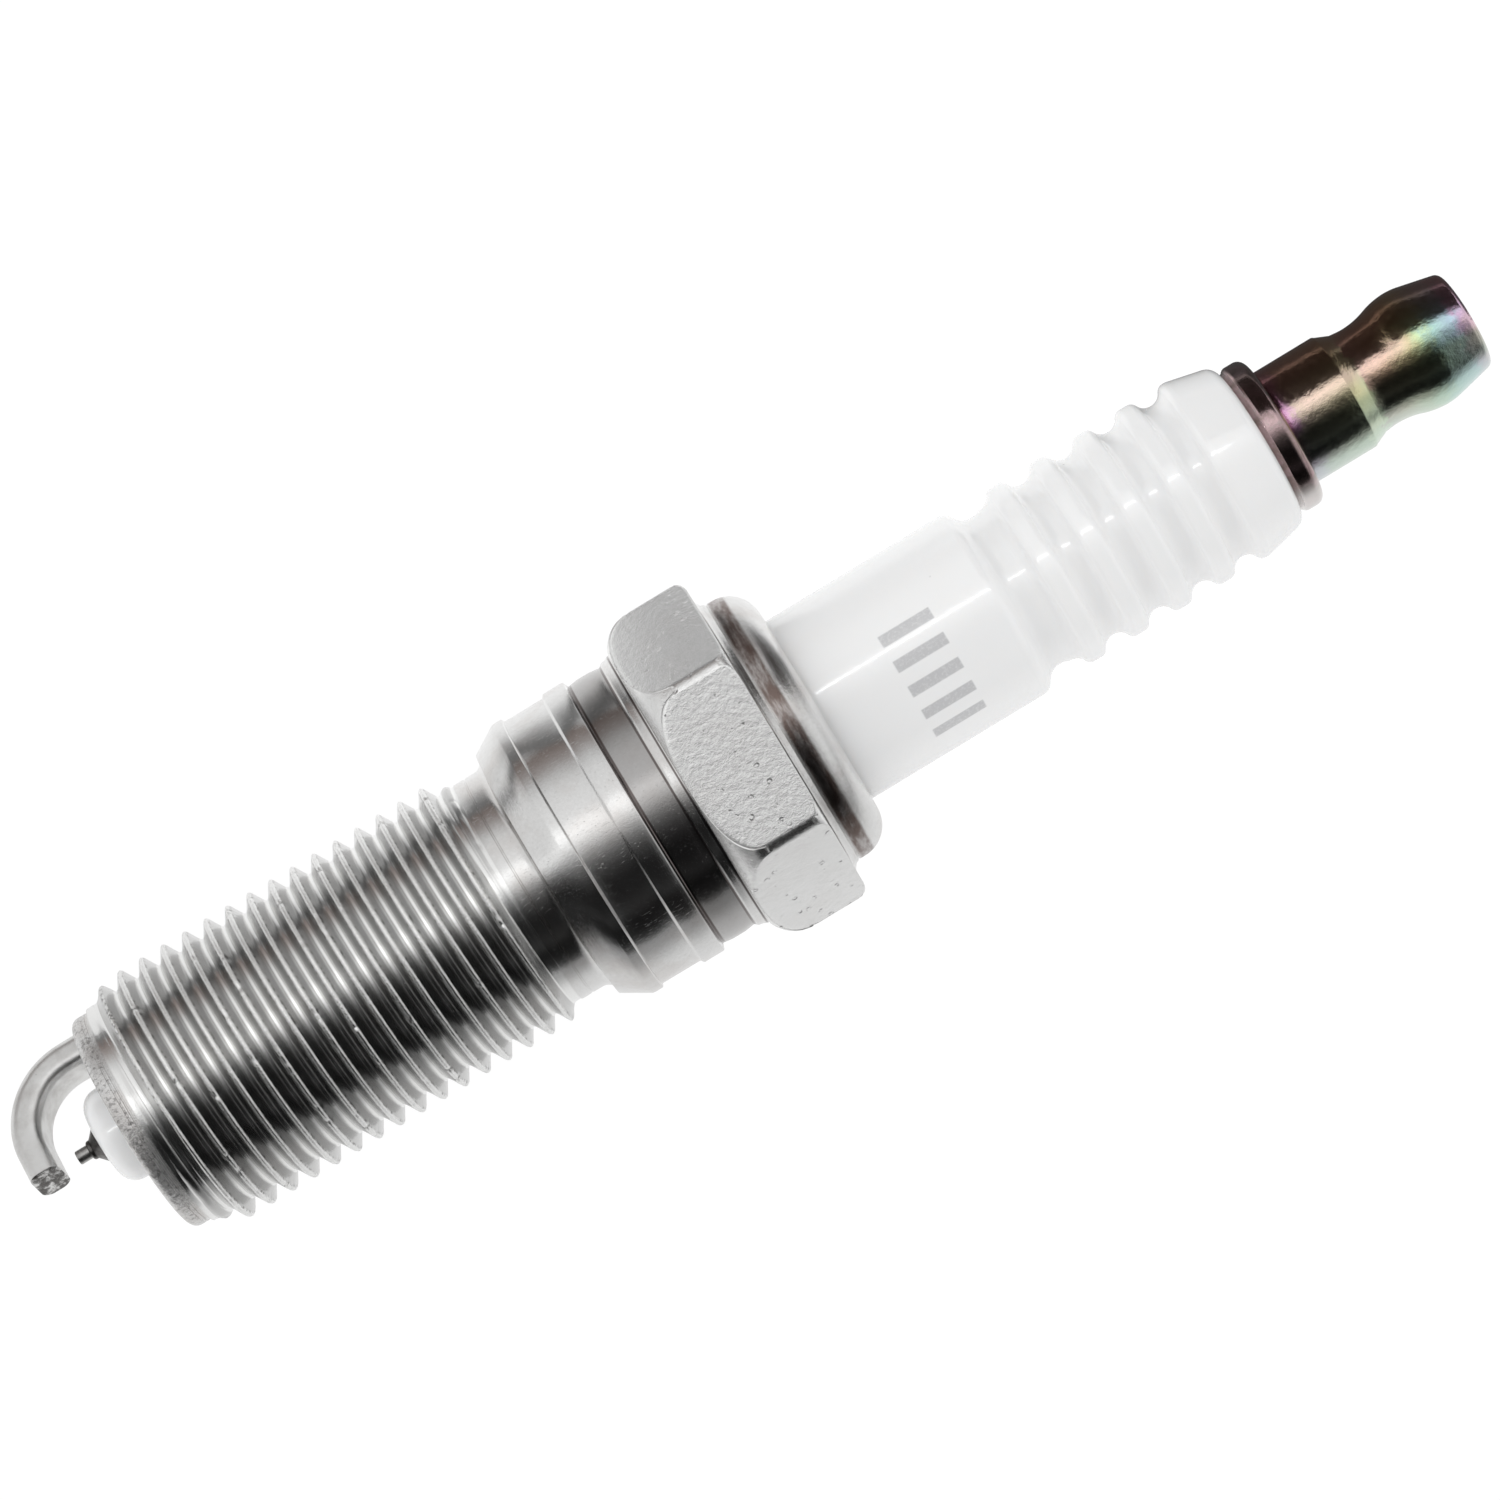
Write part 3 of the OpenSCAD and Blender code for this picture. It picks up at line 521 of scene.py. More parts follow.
BEAD_R = 0.52
STRAP_WIDTH = 2.7
STRAP_THICKNESS = 1.6
STRAP_EDGE = 0.58
STRAP_BEND_R = 4.4
STRAP_LEG_R = 4.80
STRAP_PAST_AXIS = 0.3

# The leg stands beside the axis, turned this far from +Y towards -Z.
STRAP_TURN = math.radians(27)


def centre_electrode():
    """The nickel electrode whose cone shows in front of the insulator's nose."""
    cone = ((0.0, 0.0), (0.50, 0.0), (0.52, 0.02), (0.60, 0.10), (0.86, 0.34), (1.12, 0.56), (1.22, 0.66))
    outline = [(r, WIRE_BACK + along) for r, along in cone]
    outline += [(ELECTRODE_R, WIRE_BACK + 0.72), (ELECTRODE_R, ELECTRODE_HEAD), (1.90, ELECTRODE_HEAD),
                (1.90, -3.8), (1.20, -3.8), (1.20, -2.8), (0, -2.8)]
    return turned("centre_electrode_cone", outline, columns=96)


def tip_weld():
    """The weld bead round the wire's foot."""
    outline = [(WIRE_R, WIRE_BACK), (BEAD_R, WIRE_BACK)]
    outline += arc(WIRE_R, WIRE_BACK - 0.06, 0.15, 0, -90, 8)
    return turned("tip_weld_bead", outline, columns=96)


def fine_wire():
    """The wire, with a rounded front edge."""
    outline = [(0, WIRE_FRONT), (WIRE_R - 0.05, WIRE_FRONT), (WIRE_R - 0.02, WIRE_FRONT + 0.012),
               (WIRE_R, WIRE_FRONT + 0.05), (WIRE_R, WIRE_BACK - 0.4), (WIRE_R, WIRE_BACK), (0, WIRE_BACK)]
    return turned("fine_wire_drawn", outline, columns=96)


def strap_section(steps):
    """The strap's rounded bar section: (across the thickness, across the width)."""
    t, w = STRAP_THICKNESS / 2 - STRAP_EDGE, STRAP_WIDTH / 2 - STRAP_EDGE
    points = []
    for centre_t, centre_w, start in ((t, w, 0), (-t, w, 90), (-t, -w, 180), (t, -w, 270)):
        for i in range(steps + 1):
            angle = math.radians(start + 90 * i / steps)
            points.append((centre_t + STRAP_EDGE * math.cos(angle), centre_w + STRAP_EDGE * math.sin(angle)))
    return points


def strap_path():
    """The strap's middle line: (radius, station, turn), where the turn is 0 on the leg."""
    middle_r = STRAP_BEND_R - STRAP_THICKNESS / 2
    bend_station = STRAP_OUTER + STRAP_BEND_R
    bend_from_axis = STRAP_LEG_R - middle_r
    arm_station = STRAP_OUTER + STRAP_THICKNESS / 2
    leg = [(STRAP_LEG_R, SHELL_FRONT + (bend_station - SHELL_FRONT) * share, 0) for share in (0, 0.3, 0.7)]
    bend = []
    for i in range(25):
        turn = math.radians(90 * i / 24)
        r, x = bend_from_axis + middle_r * math.cos(turn), bend_station - middle_r * math.sin(turn)
        bend.append((r, x, turn))
    arm_length = bend_from_axis + STRAP_PAST_AXIS
    arm_radii = [bend_from_axis - arm_length * share for share in np.linspace(0.08, 0.96, 12)]
    arm_radii += [0.03 - STRAP_PAST_AXIS, -STRAP_PAST_AXIS]
    return leg + bend + [(r, arm_station, math.pi / 2) for r in arm_radii]


def shrunk(row, shares):
    """Smaller copies of a ring of points about its centre, which close an end."""
    centre = np.mean(row, axis=0)
    return [centre + (row - centre) * share for share in shares]


def ground_electrode():
    """The strap: a leg on the rim, a round bend and an arm that reaches over the wire."""
    out = np.array([0.0, math.cos(STRAP_TURN), -math.sin(STRAP_TURN)])
    side = np.array([0.0, math.sin(STRAP_TURN), math.cos(STRAP_TURN)])
    along = np.array([1.0, 0.0, 0.0])
    section = strap_section(9)
    path = strap_path()
    rows = []
    for index, (r, x, turn) in enumerate(path):
        towards_outside = math.cos(turn) * out - math.sin(turn) * along
        shrink = 0.05 if index == len(path) - 1 else 0.0
        rows.append(np.array([x * along + r * out + (t * (1 - shrink)) * towards_outside
                              + (w * (1 - shrink / 2)) * side for t, w in section]))
    points = np.array(shrunk(rows[0], (0.0, 0.5)) + rows + shrunk(rows[-1], (0.75, 0.5, 0.25, 0.0)))
    faces = grid_faces(len(points), len(section), False, True)
    return solid("ground_strap", [(points, faces)], sharp_angle=40)


# ---------- nodes ----------

class Nodes:
    """Short ways to add nodes to one node tree."""

    def __init__(self, tree):
        self.tree = tree

    def feed(self, socket, value):
        """Gives a socket a link, a number or a colour of three parts."""
        if isinstance(value, bpy.types.NodeSocket):
            self.tree.links.new(value, socket)
        elif socket.type == "RGBA" and len(value) == 3:
            socket.default_value = (*value, 1.0)
        else:
            socket.default_value = value

    def node(self, kind, inputs=None, **settings):
        """Adds a node. Inputs are given by name or number, and settings are the node's own properties."""
        made = self.tree.nodes.new(kind)
        for key, value in settings.items():
            setattr(made, key, value)
        for key, value in (inputs or {}).items():
            self.feed(made.inputs[key], value)
        return made

    def math(self, operation, a, b=0.0, c=0.0):
        return self.node("ShaderNodeMath", {0: a, 1: b, 2: c}, operation=operation).outputs[0]

    def fold(self, operation, values):
        """Joins any number of values by one operation."""
        return functools.reduce(lambda a, b: self.math(operation, a, b), values)

    def times(self, *values):
        return self.fold("MULTIPLY", values)

    def plus(self, *values):
        return self.fold("ADD", values)

    def most(self, *values):
        return self.fold("MAXIMUM", values)

    def span(self, value, low, high, to_low=0.0, to_high=1.0):
        """Moves smoothly from to_low to to_high while the value goes from low to high."""
        inputs = {"Value": value, "From Min": low, "From Max": high, "To Min": to_low, "To Max": to_high}
        return self.node("ShaderNodeMapRange", inputs, interpolation_type="SMOOTHSTEP").outputs["Result"]

    def window(self, value, low, high, soft):
        """1 between low and high, falling to 0 over soft."""
        rise = self.span(value, low - soft, low + soft)
        return self.times(rise, self.span(value, high - soft, high + soft, 1.0, 0.0))

    def mix(self, share, a, b):
        """Colour a where share is 0 and colour b where it is 1."""
        return self.node("ShaderNodeMix", {0: share, 6: a, 7: b}, data_type="RGBA").outputs[2]

    def ramp(self, value, stops):
        """A colour for each value, from stops of (place, colour)."""
        made = self.node("ShaderNodeValToRGB", {"Fac": value})
        elements = made.color_ramp.elements
        while len(elements) < len(stops):
            elements.new(0.5)
        for element, (place, colour) in zip(elements, stops):
            element.position = place
            element.color = (*colour, 1.0)
        return made.outputs["Color"]


class Paint(Nodes):
    """Builds one node material. Places are object coordinates in millimetres, which are the row frame."""

    def __init__(self, name):
        self.material = bpy.data.materials.new(name)
        self.material.use_nodes = True
        super().__init__(self.material.node_tree)
        self.surface = self.tree.nodes["Principled BSDF"]
        place = self.node("ShaderNodeTexCoord").outputs["Object"]
        scaled = self.node("ShaderNodeVectorMath", {0: place, "Scale": 1 / MM}, operation="SCALE")
        self.place = scaled.outputs["Vector"]
        parts = self.node("ShaderNodeSeparateXYZ", {0: self.place}).outputs
        self.x, self.y, self.z = parts["X"], parts["Y"], parts["Z"]
        self.radius = self.math("SQRT", self.plus(self.times(self.y, self.y), self.times(self.z, self.z)))
        self.angle = self.math("ARCTAN2", self.z, self.y)
        self.colour = None
        self.normal = None

    def stretched(self, sx, sy, sz):
        """The place, scaled by its own number along each axis."""
        inputs = {0: self.place, 1: (sx, sy, sz)}
        return self.node("ShaderNodeVectorMath", inputs, operation="MULTIPLY").outputs[0]

    def noise(self, scale, detail=3.0, roughness=0.55, vector=None, distortion=0.0):
        inputs = {"Vector": vector or self.place, "Scale": scale, "Detail": detail,
                  "Roughness": roughness, "Distortion": distortion}
        return self.node("ShaderNodeTexNoise", inputs).outputs["Fac"]

    def lines(self, along, across, detail=3.0, roughness=0.6):
        """Noise drawn out into lines: a high number along gives turned lines, one across gives scratches."""
        return self.noise(1.0, detail, roughness, self.stretched(along, across, across))

    def cells(self, scale):
        """Distance to the nearest of many scattered points."""
        return self.node("ShaderNodeTexVoronoi", {"Vector": self.place, "Scale": scale}).outputs["Distance"]

    def spots(self, scale, size, patch_scale, low, high):
        """Small round spots, kept only where a coarser noise is high."""
        everywhere = self.span(self.cells(scale), 0.0, size, 1.0, 0.0)
        return self.times(everywhere, self.span(self.noise(patch_scale, 2.0), low, high))

    def lay(self, tint, share):
        """Lays a tint over the colour so far."""
        self.colour = self.mix(share, self.colour, tint)

    def bump(self, height, depth, strength=1.0):
        """Adds relief. The depth is in millimetres."""
        inputs = {"Height": height, "Distance": depth * MM, "Strength": strength}
        if self.normal is not None:
            inputs["Normal"] = self.normal
        self.normal = self.node("ShaderNodeBump", inputs).outputs["Normal"]

    def finish(self, colour, metallic, roughness, **extra):
        """Sets up the surface and gives the material back."""
        settings = {"Base Color": colour, "Metallic": metallic, "Roughness": roughness, **extra}
        if self.normal is not None:
            settings["Normal"] = self.normal
        for key, value in settings.items():
            self.feed(self.surface.inputs[key], value)
        return self.material


# ---------- materials ----------

# Corners of the shell that get painted shade: first station, last station and softness.
SHADED_CORNERS = (
    (GROOVE_FRONT - 0.02, GROOVE_FRONT + 0.16, 0.04),
    (GROOVE_BACK - 0.06, GROOVE_BACK + 0.06, 0.03),
    (HEX_FRONT - 0.15, HEX_FRONT - 0.05, 0.03),
)

# The printed mark: its stations, the middles of its bars in degrees from +Y, and half a bar's width and its
# soft edge in radians.
MARK_FRONT = 19.2
MARK_BACK = 22.1
MARK_BARS = (76, 92, 108, 124, 140)
MARK_HALF = 0.062
MARK_EDGE = 0.009

# Colours of the zinc's film, from the nut's front to its end.
FILM_COLOURS = (
    (0.00, (0.70, 0.36, 0.60)), (0.045, (0.70, 0.42, 0.60)), (0.10, (0.66, 0.54, 0.44)),
    (0.22, (0.66, 0.58, 0.40)), (0.325, (0.60, 0.56, 0.34)), (0.345, (0.80, 0.76, 0.46)),
    (0.40, (0.78, 0.78, 0.50)), (0.425, (0.70, 0.50, 0.40)), (0.53, (0.70, 0.50, 0.34)),
    (0.66, (0.64, 0.60, 0.32)), (0.74, (0.58, 0.72, 0.44)), (0.80, (0.44, 0.66, 0.60)),
    (0.90, (0.48, 0.62, 0.72)), (0.945, (0.66, 0.48, 0.66)), (1.0, (0.86, 0.62, 0.70)),
)
STUD_COLOURS = (
    (0.30, (0.24, 0.19, 0.18)), (0.45, (0.36, 0.27, 0.26)), (0.56, (0.50, 0.36, 0.37)),
    (0.68, (0.36, 0.33, 0.31)),
)


def shell_zones(p):
    """Places on the shell, each 1 inside and 0 outside, with soft edges."""
    on_hex = p.window(p.x, HEX_FRONT, HEX_BACK, 0.05)
    on_crimp = p.span(p.x, HEX_BACK + 0.05, HEX_BACK + 0.15)
    on_rim = p.span(p.x, THREAD_FRONT - 0.1, THREAD_FRONT + 0.1, 1.0, 0.0)
    on_thread = p.window(p.x, THREAD_FRONT, THREAD_BACK, 0.1)
    return {
        "hex": on_hex,
        "flats": p.times(on_hex, p.span(p.radius, HEX_CORNER_R - 0.14, HEX_CORNER_R - 0.04, 1.0, 0.0)),
        "rim": on_rim,
        "rim_face": p.times(on_rim, p.span(p.x, SHELL_FRONT + 0.95, SHELL_FRONT + 0.80)),
        "rim_edge": p.times(on_rim, p.span(p.x, SHELL_FRONT + 0.9, SHELL_FRONT + 0.6)),
        "thread": on_thread,
        "crest": p.times(on_thread, p.span(p.radius, THREAD_R - 0.22, THREAD_R - 0.06)),
        "below_crest": p.times(on_thread, p.window(p.radius, THREAD_R - 0.20, THREAD_R - 0.09, 0.03)),
        "root": p.times(on_thread, p.span(p.radius, THREAD_ROOT_R + 0.10, THREAD_ROOT_R + 0.03)),
        "heated": p.window(p.x, HEX_BACK + 0.52, HEX_BACK + 1.35, 0.10),
        "groove": p.window(p.x, GROOVE_FRONT + 0.07, GROOVE_BACK - 0.04, 0.05),
        "seams": p.most(*[p.window(p.x, low, high, soft) for low, high, soft in SHADED_CORNERS]),
        "rough": p.most(on_hex, p.times(on_crimp, 0.5), p.times(on_rim, 0.9)),
    }


def plated_steel():
    """The shell: bright plating, turned lines, peened hex flats, worn crests, painted highlights along the
    thread's crests and roots, and painted shade on the thread, in the groove and in the corners.
    """
    p = Paint("plated_steel")
    zone = shell_zones(p)
    cloud = p.noise(0.35, 4.0, 0.6)
    grain = p.noise(6.0, 5.0, 0.7)
    pits = p.spots(5.5, 0.16, 1.1, 0.54, 0.62)
    rings = p.window(p.cells(1.3), 0.14, 0.20, 0.045)
    dents = p.times(rings, p.span(p.noise(2.4, 2.0), 0.50, 0.60), zone["hex"])
    steel_colour(p, zone, cloud, grain, pits, dents)
    steel_relief(p, zone, pits, dents)
    smooth = p.span(cloud, 0.3, 0.7, 0.11, 0.14)
    roughness = p.plus(smooth, p.times(zone["rough"], 0.11), p.times(grain, 0.04))
    dull = p.most(p.times(zone["flats"], 0.26), p.times(zone["rim"], 0.15))
    return p.finish(p.colour, p.math("SUBTRACT", 1.0, dull), roughness)


def steel_colour(p, zone, cloud, grain, pits, dents):
    """The shell's tints, from the plating up to the painted shade in the corners."""
    streaks = p.lines(3.0, 0.8, 4.0, 0.65)
    p.colour = p.mix(p.span(cloud, 0.42, 0.68), (0.80, 0.80, 0.795), (0.72, 0.70, 0.685))
    p.lay((0.58, 0.57, 0.56), p.span(grain, 0.25, 0.75, 0.0, 0.30))
    p.lay((0.10, 0.09, 0.085), p.times(pits, 0.55))
    # Painted shade: the whole thread is darkened for the shade on its flanks; its crests and roots are
    # lightened again below.
    p.lay((0.48, 0.48, 0.475), p.times(zone["thread"], 0.7))
    p.lay((0.95, 0.95, 0.945), p.times(zone["hex"], 0.7))
    # Painted highlight: the crests and roots are lightened into bright lines of light along the thread.
    p.lay((0.95, 0.95, 0.94), p.times(p.most(zone["crest"], zone["root"]), 0.9))
    p.lay((0.17, 0.125, 0.11), p.times(zone["heated"], p.span(streaks, 0.30, 0.62, 0.55, 0.98)))
    # Painted shade: the groove's recess is darkened.
    p.lay((0.26, 0.25, 0.245), p.times(zone["groove"], 0.62))
    p.lay((0.30, 0.295, 0.29), p.times(dents, p.span(p.noise(3.1, 2.0), 0.46, 0.54), 0.75))
    torn = p.span(p.noise(5.5, 3.0, 0.6), 0.50, 0.58)
    p.lay((0.05, 0.045, 0.04), p.times(zone["below_crest"], torn, 0.8))
    p.lay((0.20, 0.195, 0.19), p.times(zone["rim_face"], p.span(p.noise(4.6, 5.0, 0.7), 0.50, 0.62), 0.6))
    # Painted shade: the corners by the groove and under the hex are darkened near black.
    p.lay((0.07, 0.05, 0.045), p.times(zone["seams"], 0.85))


def steel_relief(p, zone, pits, dents):
    """The shell's surface: turned lines, peening, dents, grain, scratches and pits."""
    off_thread = p.math("SUBTRACT", 1.0, zone["thread"])
    scratches = p.span(p.lines(2.0, 26.0, 2.0, 0.5), 0.66, 0.74)
    grain_share = p.plus(zone["rough"], 0.30, p.times(zone["crest"], 2.4))
    p.bump(p.lines(26.0, 0.35), 0.010, 0.5)
    p.bump(p.lines(90.0, 0.8, 2.0, 0.5), 0.003, 0.4)
    p.bump(p.times(p.noise(2.8, 5.0, 0.62), zone["rough"]), 0.034, 0.8)
    p.bump(p.times(dents, -1.0), 0.050, 0.9)
    p.bump(p.times(p.noise(3.6, 5.0, 0.7), zone["rim_edge"]), 0.060, 0.8)
    p.bump(p.times(p.noise(9.0, 4.0, 0.7), grain_share), 0.014, 0.8)
    p.bump(p.times(scratches, off_thread), 0.003, 0.6)
    p.bump(p.times(pits, -1.0), 0.012, 0.8)


def glazed_ceramic():
    """White glaze with a plain printed mark of five bars, fine ripple and a few kiln specks."""
    p = Paint("white_glaze")
    middles = [math.radians(degrees) for degrees in MARK_BARS]
    bars = [p.window(p.angle, middle - MARK_HALF, middle + MARK_HALF, MARK_EDGE) for middle in middles]
    mark = p.times(p.most(*bars), p.window(p.x, MARK_FRONT, MARK_BACK, 0.05))
    worn = p.span(p.noise(7.0, 3.0, 0.6), 0.30, 0.55, 0.75, 1.0)
    p.colour = p.mix(p.noise(0.22, 3.0, 0.5), (0.90, 0.905, 0.91), (0.93, 0.93, 0.925))
    p.lay((0.22, 0.22, 0.24), p.times(p.spots(0.42, 0.035, 0.9, 0.47, 0.55), 0.75))
    p.lay((0.56, 0.56, 0.57), p.times(mark, worn, 0.9))
    p.bump(p.noise(0.8, 2.0, 0.5), 0.020, 0.25)
    p.bump(p.noise(2.6, 3.0, 0.55), 0.010, 0.4)
    return p.finish(p.colour, 0.0, p.span(p.noise(2.0), 0.3, 0.7, 0.10, 0.16), **{
        "Subsurface Weight": 0.35, "Subsurface Radius": (1.0, 0.95, 0.9), "Subsurface Scale": 1.6 * MM,
        "Coat Weight": 0.4, "Coat Roughness": 0.05, "IOR": 1.6})


def zinc_yellow():
    """The nut's passivated zinc: bands of olive, gold, rose and green that follow the film's thickness, with
    painted shade on its +Y side, painted shade and a painted reflection on its -Y side, and a painted rose
    highlight near its top.
    """
    p = Paint("yellow_zinc")
    drift = p.span(p.noise(0.55, 3.0, 0.6, distortion=0.6), 0.25, 0.75, -0.035, 0.035)
    fine = p.noise(3.2, 4.0, 0.6)
    along = p.math("DIVIDE", p.math("SUBTRACT", p.x, NUT_FRONT), TERMINAL_TOP - NUT_FRONT)
    # The rose band lies where the highlight falls along the top of the nut.
    rose = p.times(p.window(p.y, 0.15, 1.1, 0.45), p.window(p.x, NUT_FRONT + 1.0, TERMINAL_TOP - 3.4, 0.5))
    p.colour = p.ramp(p.plus(along, drift, p.span(fine, 0.3, 0.7, -0.012, 0.012)), FILM_COLOURS)
    # Painted shade: the +Y side of the nut is darkened to brown.
    p.lay((0.32, 0.14, 0.10), p.times(p.span(p.y, 0.5, 2.6), 0.8))
    # Painted shade: a dark green tint on the -Y side, next to the top.
    p.lay((0.34, 0.44, 0.28), p.times(p.window(p.y, -2.0, -0.6, 0.3), 0.6))
    # Painted reflection: the lower -Y side is lightened to pale cyan, as the pale floor would show in it.
    p.lay((0.62, 0.80, 0.74), p.times(p.span(p.y, -0.6, -2.9), 0.7))
    # Painted highlight: a rose sheen laid on that band.
    p.lay((0.86, 0.62, 0.56), p.times(rose, 0.55))
    p.lay((0.72, 0.50, 0.22), p.times(p.spots(2.2, 0.10, 1.3, 0.52, 0.60), 0.5))
    p.bump(p.lines(20.0, 0.6), 0.004, 0.5)
    p.bump(p.noise(1.5, 4.0, 0.6), 0.050, 0.6)
    p.bump(fine, 0.007, 0.5)
    return p.finish(p.colour, 1.0, p.span(fine, 0.3, 0.7, 0.12, 0.20))


def stud_steel():
    """The stud's flange: brown-tinted plating with rose patches, and a painted reflection that lightens its
    lower side.
    """
    p = Paint("stud_steel")
    grain = p.noise(7.0, 4.0, 0.65)
    p.colour = p.ramp(p.noise(0.7, 4.0, 0.6, distortion=0.4), STUD_COLOURS)
    p.lay((0.45, 0.39, 0.37), p.span(grain, 0.45, 0.8, 0.0, 0.2))
    # Painted reflection: the lower side is lightened, as the pale floor would show in it.
    p.lay((0.84, 0.82, 0.80), p.span(p.y, -2.6, -3.6, 0.0, 0.75))
    p.bump(p.lines(22.0, 0.5), 0.008, 0.5)
    p.bump(grain, 0.008, 0.5)
    return p.finish(p.colour, 1.0, p.span(grain, 0.3, 0.7, 0.11, 0.17))


def electrode_nickel():
    """The strap: satin nickel with drawing lines, nicks and a sheared, darker end."""
    p = Paint("electrode_nickel")
    cloud = p.noise(0.8, 4.0, 0.6)
    out = p.math("SUBTRACT", p.times(p.y, math.cos(STRAP_TURN)), p.times(p.z, math.sin(STRAP_TURN)))
    sheared = p.span(out, 0.06 - STRAP_PAST_AXIS, 0.02 - STRAP_PAST_AXIS)
    torn = p.noise(1.5, 5.0, 0.7, p.stretched(1.0, 1.0, 0.7))
    p.colour = p.mix(p.span(cloud, 0.35, 0.7), (0.80, 0.80, 0.79), (0.66, 0.65, 0.635))
    p.lay((0.22, 0.21, 0.20), p.times(p.spots(2.0, 0.12, 1.4, 0.52, 0.60), 0.5))
    p.lay((0.10, 0.095, 0.09), p.times(sheared, p.span(torn, 0.38, 0.56)))
    p.bump(p.noise(3.0, 4.0, 0.6), 0.020, 0.5)
    p.bump(p.noise(14.0, 3.0, 0.6), 0.004, 0.5)
    p.bump(p.times(torn, sheared), 0.10, 0.8)
    return p.finish(p.colour, 1.0, p.span(cloud, 0.3, 0.7, 0.30, 0.40))


def plain_metal(name, dark, light, low_rough, high_rough, depth=0.008):
    """A metal with cloudy tint, turned lines and fine grain."""
    p = Paint(name)
    grain = p.noise(11.0, 4.0, 0.65)
    p.colour = p.mix(p.span(p.noise(1.6, 4.0, 0.6), 0.3, 0.7), dark, light)
    p.lay([c * 0.5 for c in dark], p.span(grain, 0.55, 0.8, 0.0, 0.35))
    p.bump(p.lines(40.0, 1.0), depth, 0.5)
    p.bump(grain, depth * 0.7, 0.5)
    return p.finish(p.colour, 1.0, p.span(grain, 0.3, 0.7, low_rough, high_rough))


def powder(name, dark, light, grain_scale, roughness):
    """A matt pressed or fused filling with a grainy break."""
    p = Paint(name)
    grain = p.noise(grain_scale, 5.0, 0.7)
    p.colour = p.mix(p.span(p.noise(0.9, 4.0, 0.6), 0.3, 0.7), dark, light)
    p.lay([c * 0.6 for c in dark], p.span(grain, 0.55, 0.75, 0.0, 0.5))
    p.bump(grain, 0.03, 0.7)
    return p.finish(p.colour, 0.0, p.span(grain, 0.3, 0.7, roughness - 0.1, roughness + 0.1))


# ---------- camera, lights and room ----------

AXIS_TILT = math.radians(31.2)
LENS = 150
SENSOR = 36
LOOK_AT = Vector((11.006 * MM, 0.07 * MM, 0))
CAMERA_HEIGHT = 311.3 * MM

# The strip light, in metres: degrees from straight up towards +Y, distance, width, length and power.
STRIP_ANGLE = 17.5
STRIP_DISTANCE = 0.68
STRIP_WIDTH = 0.016
STRIP_LENGTH = 0.9
STRIP_POWER = 0.62

# The black flag: its two angles from straight up towards +Y, its two stations and its distance from the axis.
FLAG_ANGLES = (31, 97)
FLAG_STATIONS = (34, 90)
FLAG_REACH = 34
FLAG_GLOW_COLOUR = (1.0, 0.55, 0.40)
FLAG_GLOW = 0.015

# The room, as metal mirrors it: degrees from straight up towards +Y, level and warmth.
ROOM_BANDS = (
    (-100, 0.16, 0), (-90, 0.08, 0), (-82, 0.012, 0), (-66, 0.006, 0), (-57, 0.03, 0), (-45, 0.015, 0),
    (-30, 0.012, 0), (-18, 0.045, 0), (-8, 0.16, 0), (0, 0.44, 0), (8, 0.95, 0), (18, 1.40, 0), (28, 0.90, 0),
    (52, 0.78, 0), (62, 0.60, 0), (74, 0.32, 0.3), (92, 0.14, 1.0),
)
WARM_SHADE = (1.0, 0.72, 0.62)
BAND_TOP = 2.0

# The room's two ends: where each starts and is full, as the X part of a direction, and their level. The
# firing end is lit on its +Y side only, from the first to the second angle from straight up.
TERMINAL_END = (0.32, 0.95)
FIRING_END = (-0.35, -0.80)
FIRING_END_SIDE = (0.03, 0.45)
END_LEVEL = 0.80

# How bright the room is to the camera and to matt surfaces.
ROOM_SEEN = 1.0
ROOM_LIGHT = 0.84

# How bright the floor looks in the metal: millimetres from the axis towards +Y, and level.
FLOOR_LEVELS = ((-72, 0.24), (-40, 0.40), (-22, 0.66), (-12, 0.74), (0, 0.85), (8, 0.95), (14, 0.92),
                (20, 0.84), (26, 0.60), (33, 0.36), (45, 0.20), (72, 0.08))
FLOOR_SPAN = 80

# Where that differs beside the terminal, before it, by the firing end and beside the hex: level, edges along
# X and edges along Y. Each edge goes from outside to inside.
FLOOR_REGIONS = (
    (0.0, [(33, 41)], [(-1, 1)]),
    (0.35, [(20, 36)], [(28, 45)]),
    (0.74, [(1, -34)], [(-1, 1), (75, 45)]),
    (0.06, [(7.0, 9.4), (15.6, 13.2)], [(14, 22), (64, 56)]),
)
FLOOR_GLOW = 0.95
FLOOR_HALF = 3.0
FLOOR_Z = -HALF_FLATS * MM


def grey(level):
    """A neutral colour."""
    return (level, level, level)


def camera():
    """Looks straight down on the plug, turned so that its axis lies as it does in the photograph."""
    data = bpy.data.cameras.new("camera")
    data.lens = LENS
    data.sensor_width = SENSOR
    data.clip_start = 0.01
    data.clip_end = 20
    made = placed("camera", data)
    made.location = LOOK_AT + Vector((0, 0, CAMERA_HEIGHT))
    made.rotation_euler = (0, 0, -AXIS_TILT)
    bpy.context.scene.camera = made


def strip_light(insulator_piece):
    """A narrow strip that lights only the insulator and draws the fine highlight along it."""
    data = bpy.data.lights.new("strip", "AREA")
    data.shape = "RECTANGLE"
    data.size = STRIP_LENGTH
    data.size_y = STRIP_WIDTH
    data.energy = STRIP_POWER
    made = placed("strip", data)
    tilt = math.radians(STRIP_ANGLE)
    made.location = Vector((LOOK_AT.x, math.sin(tilt) * STRIP_DISTANCE, math.cos(tilt) * STRIP_DISTANCE))
    made.rotation_euler = (-tilt, 0, 0)
    lit = bpy.data.collections.new("lit_by_strip")
    lit.objects.link(insulator_piece)
    made.light_linking.receiver_collection = lit


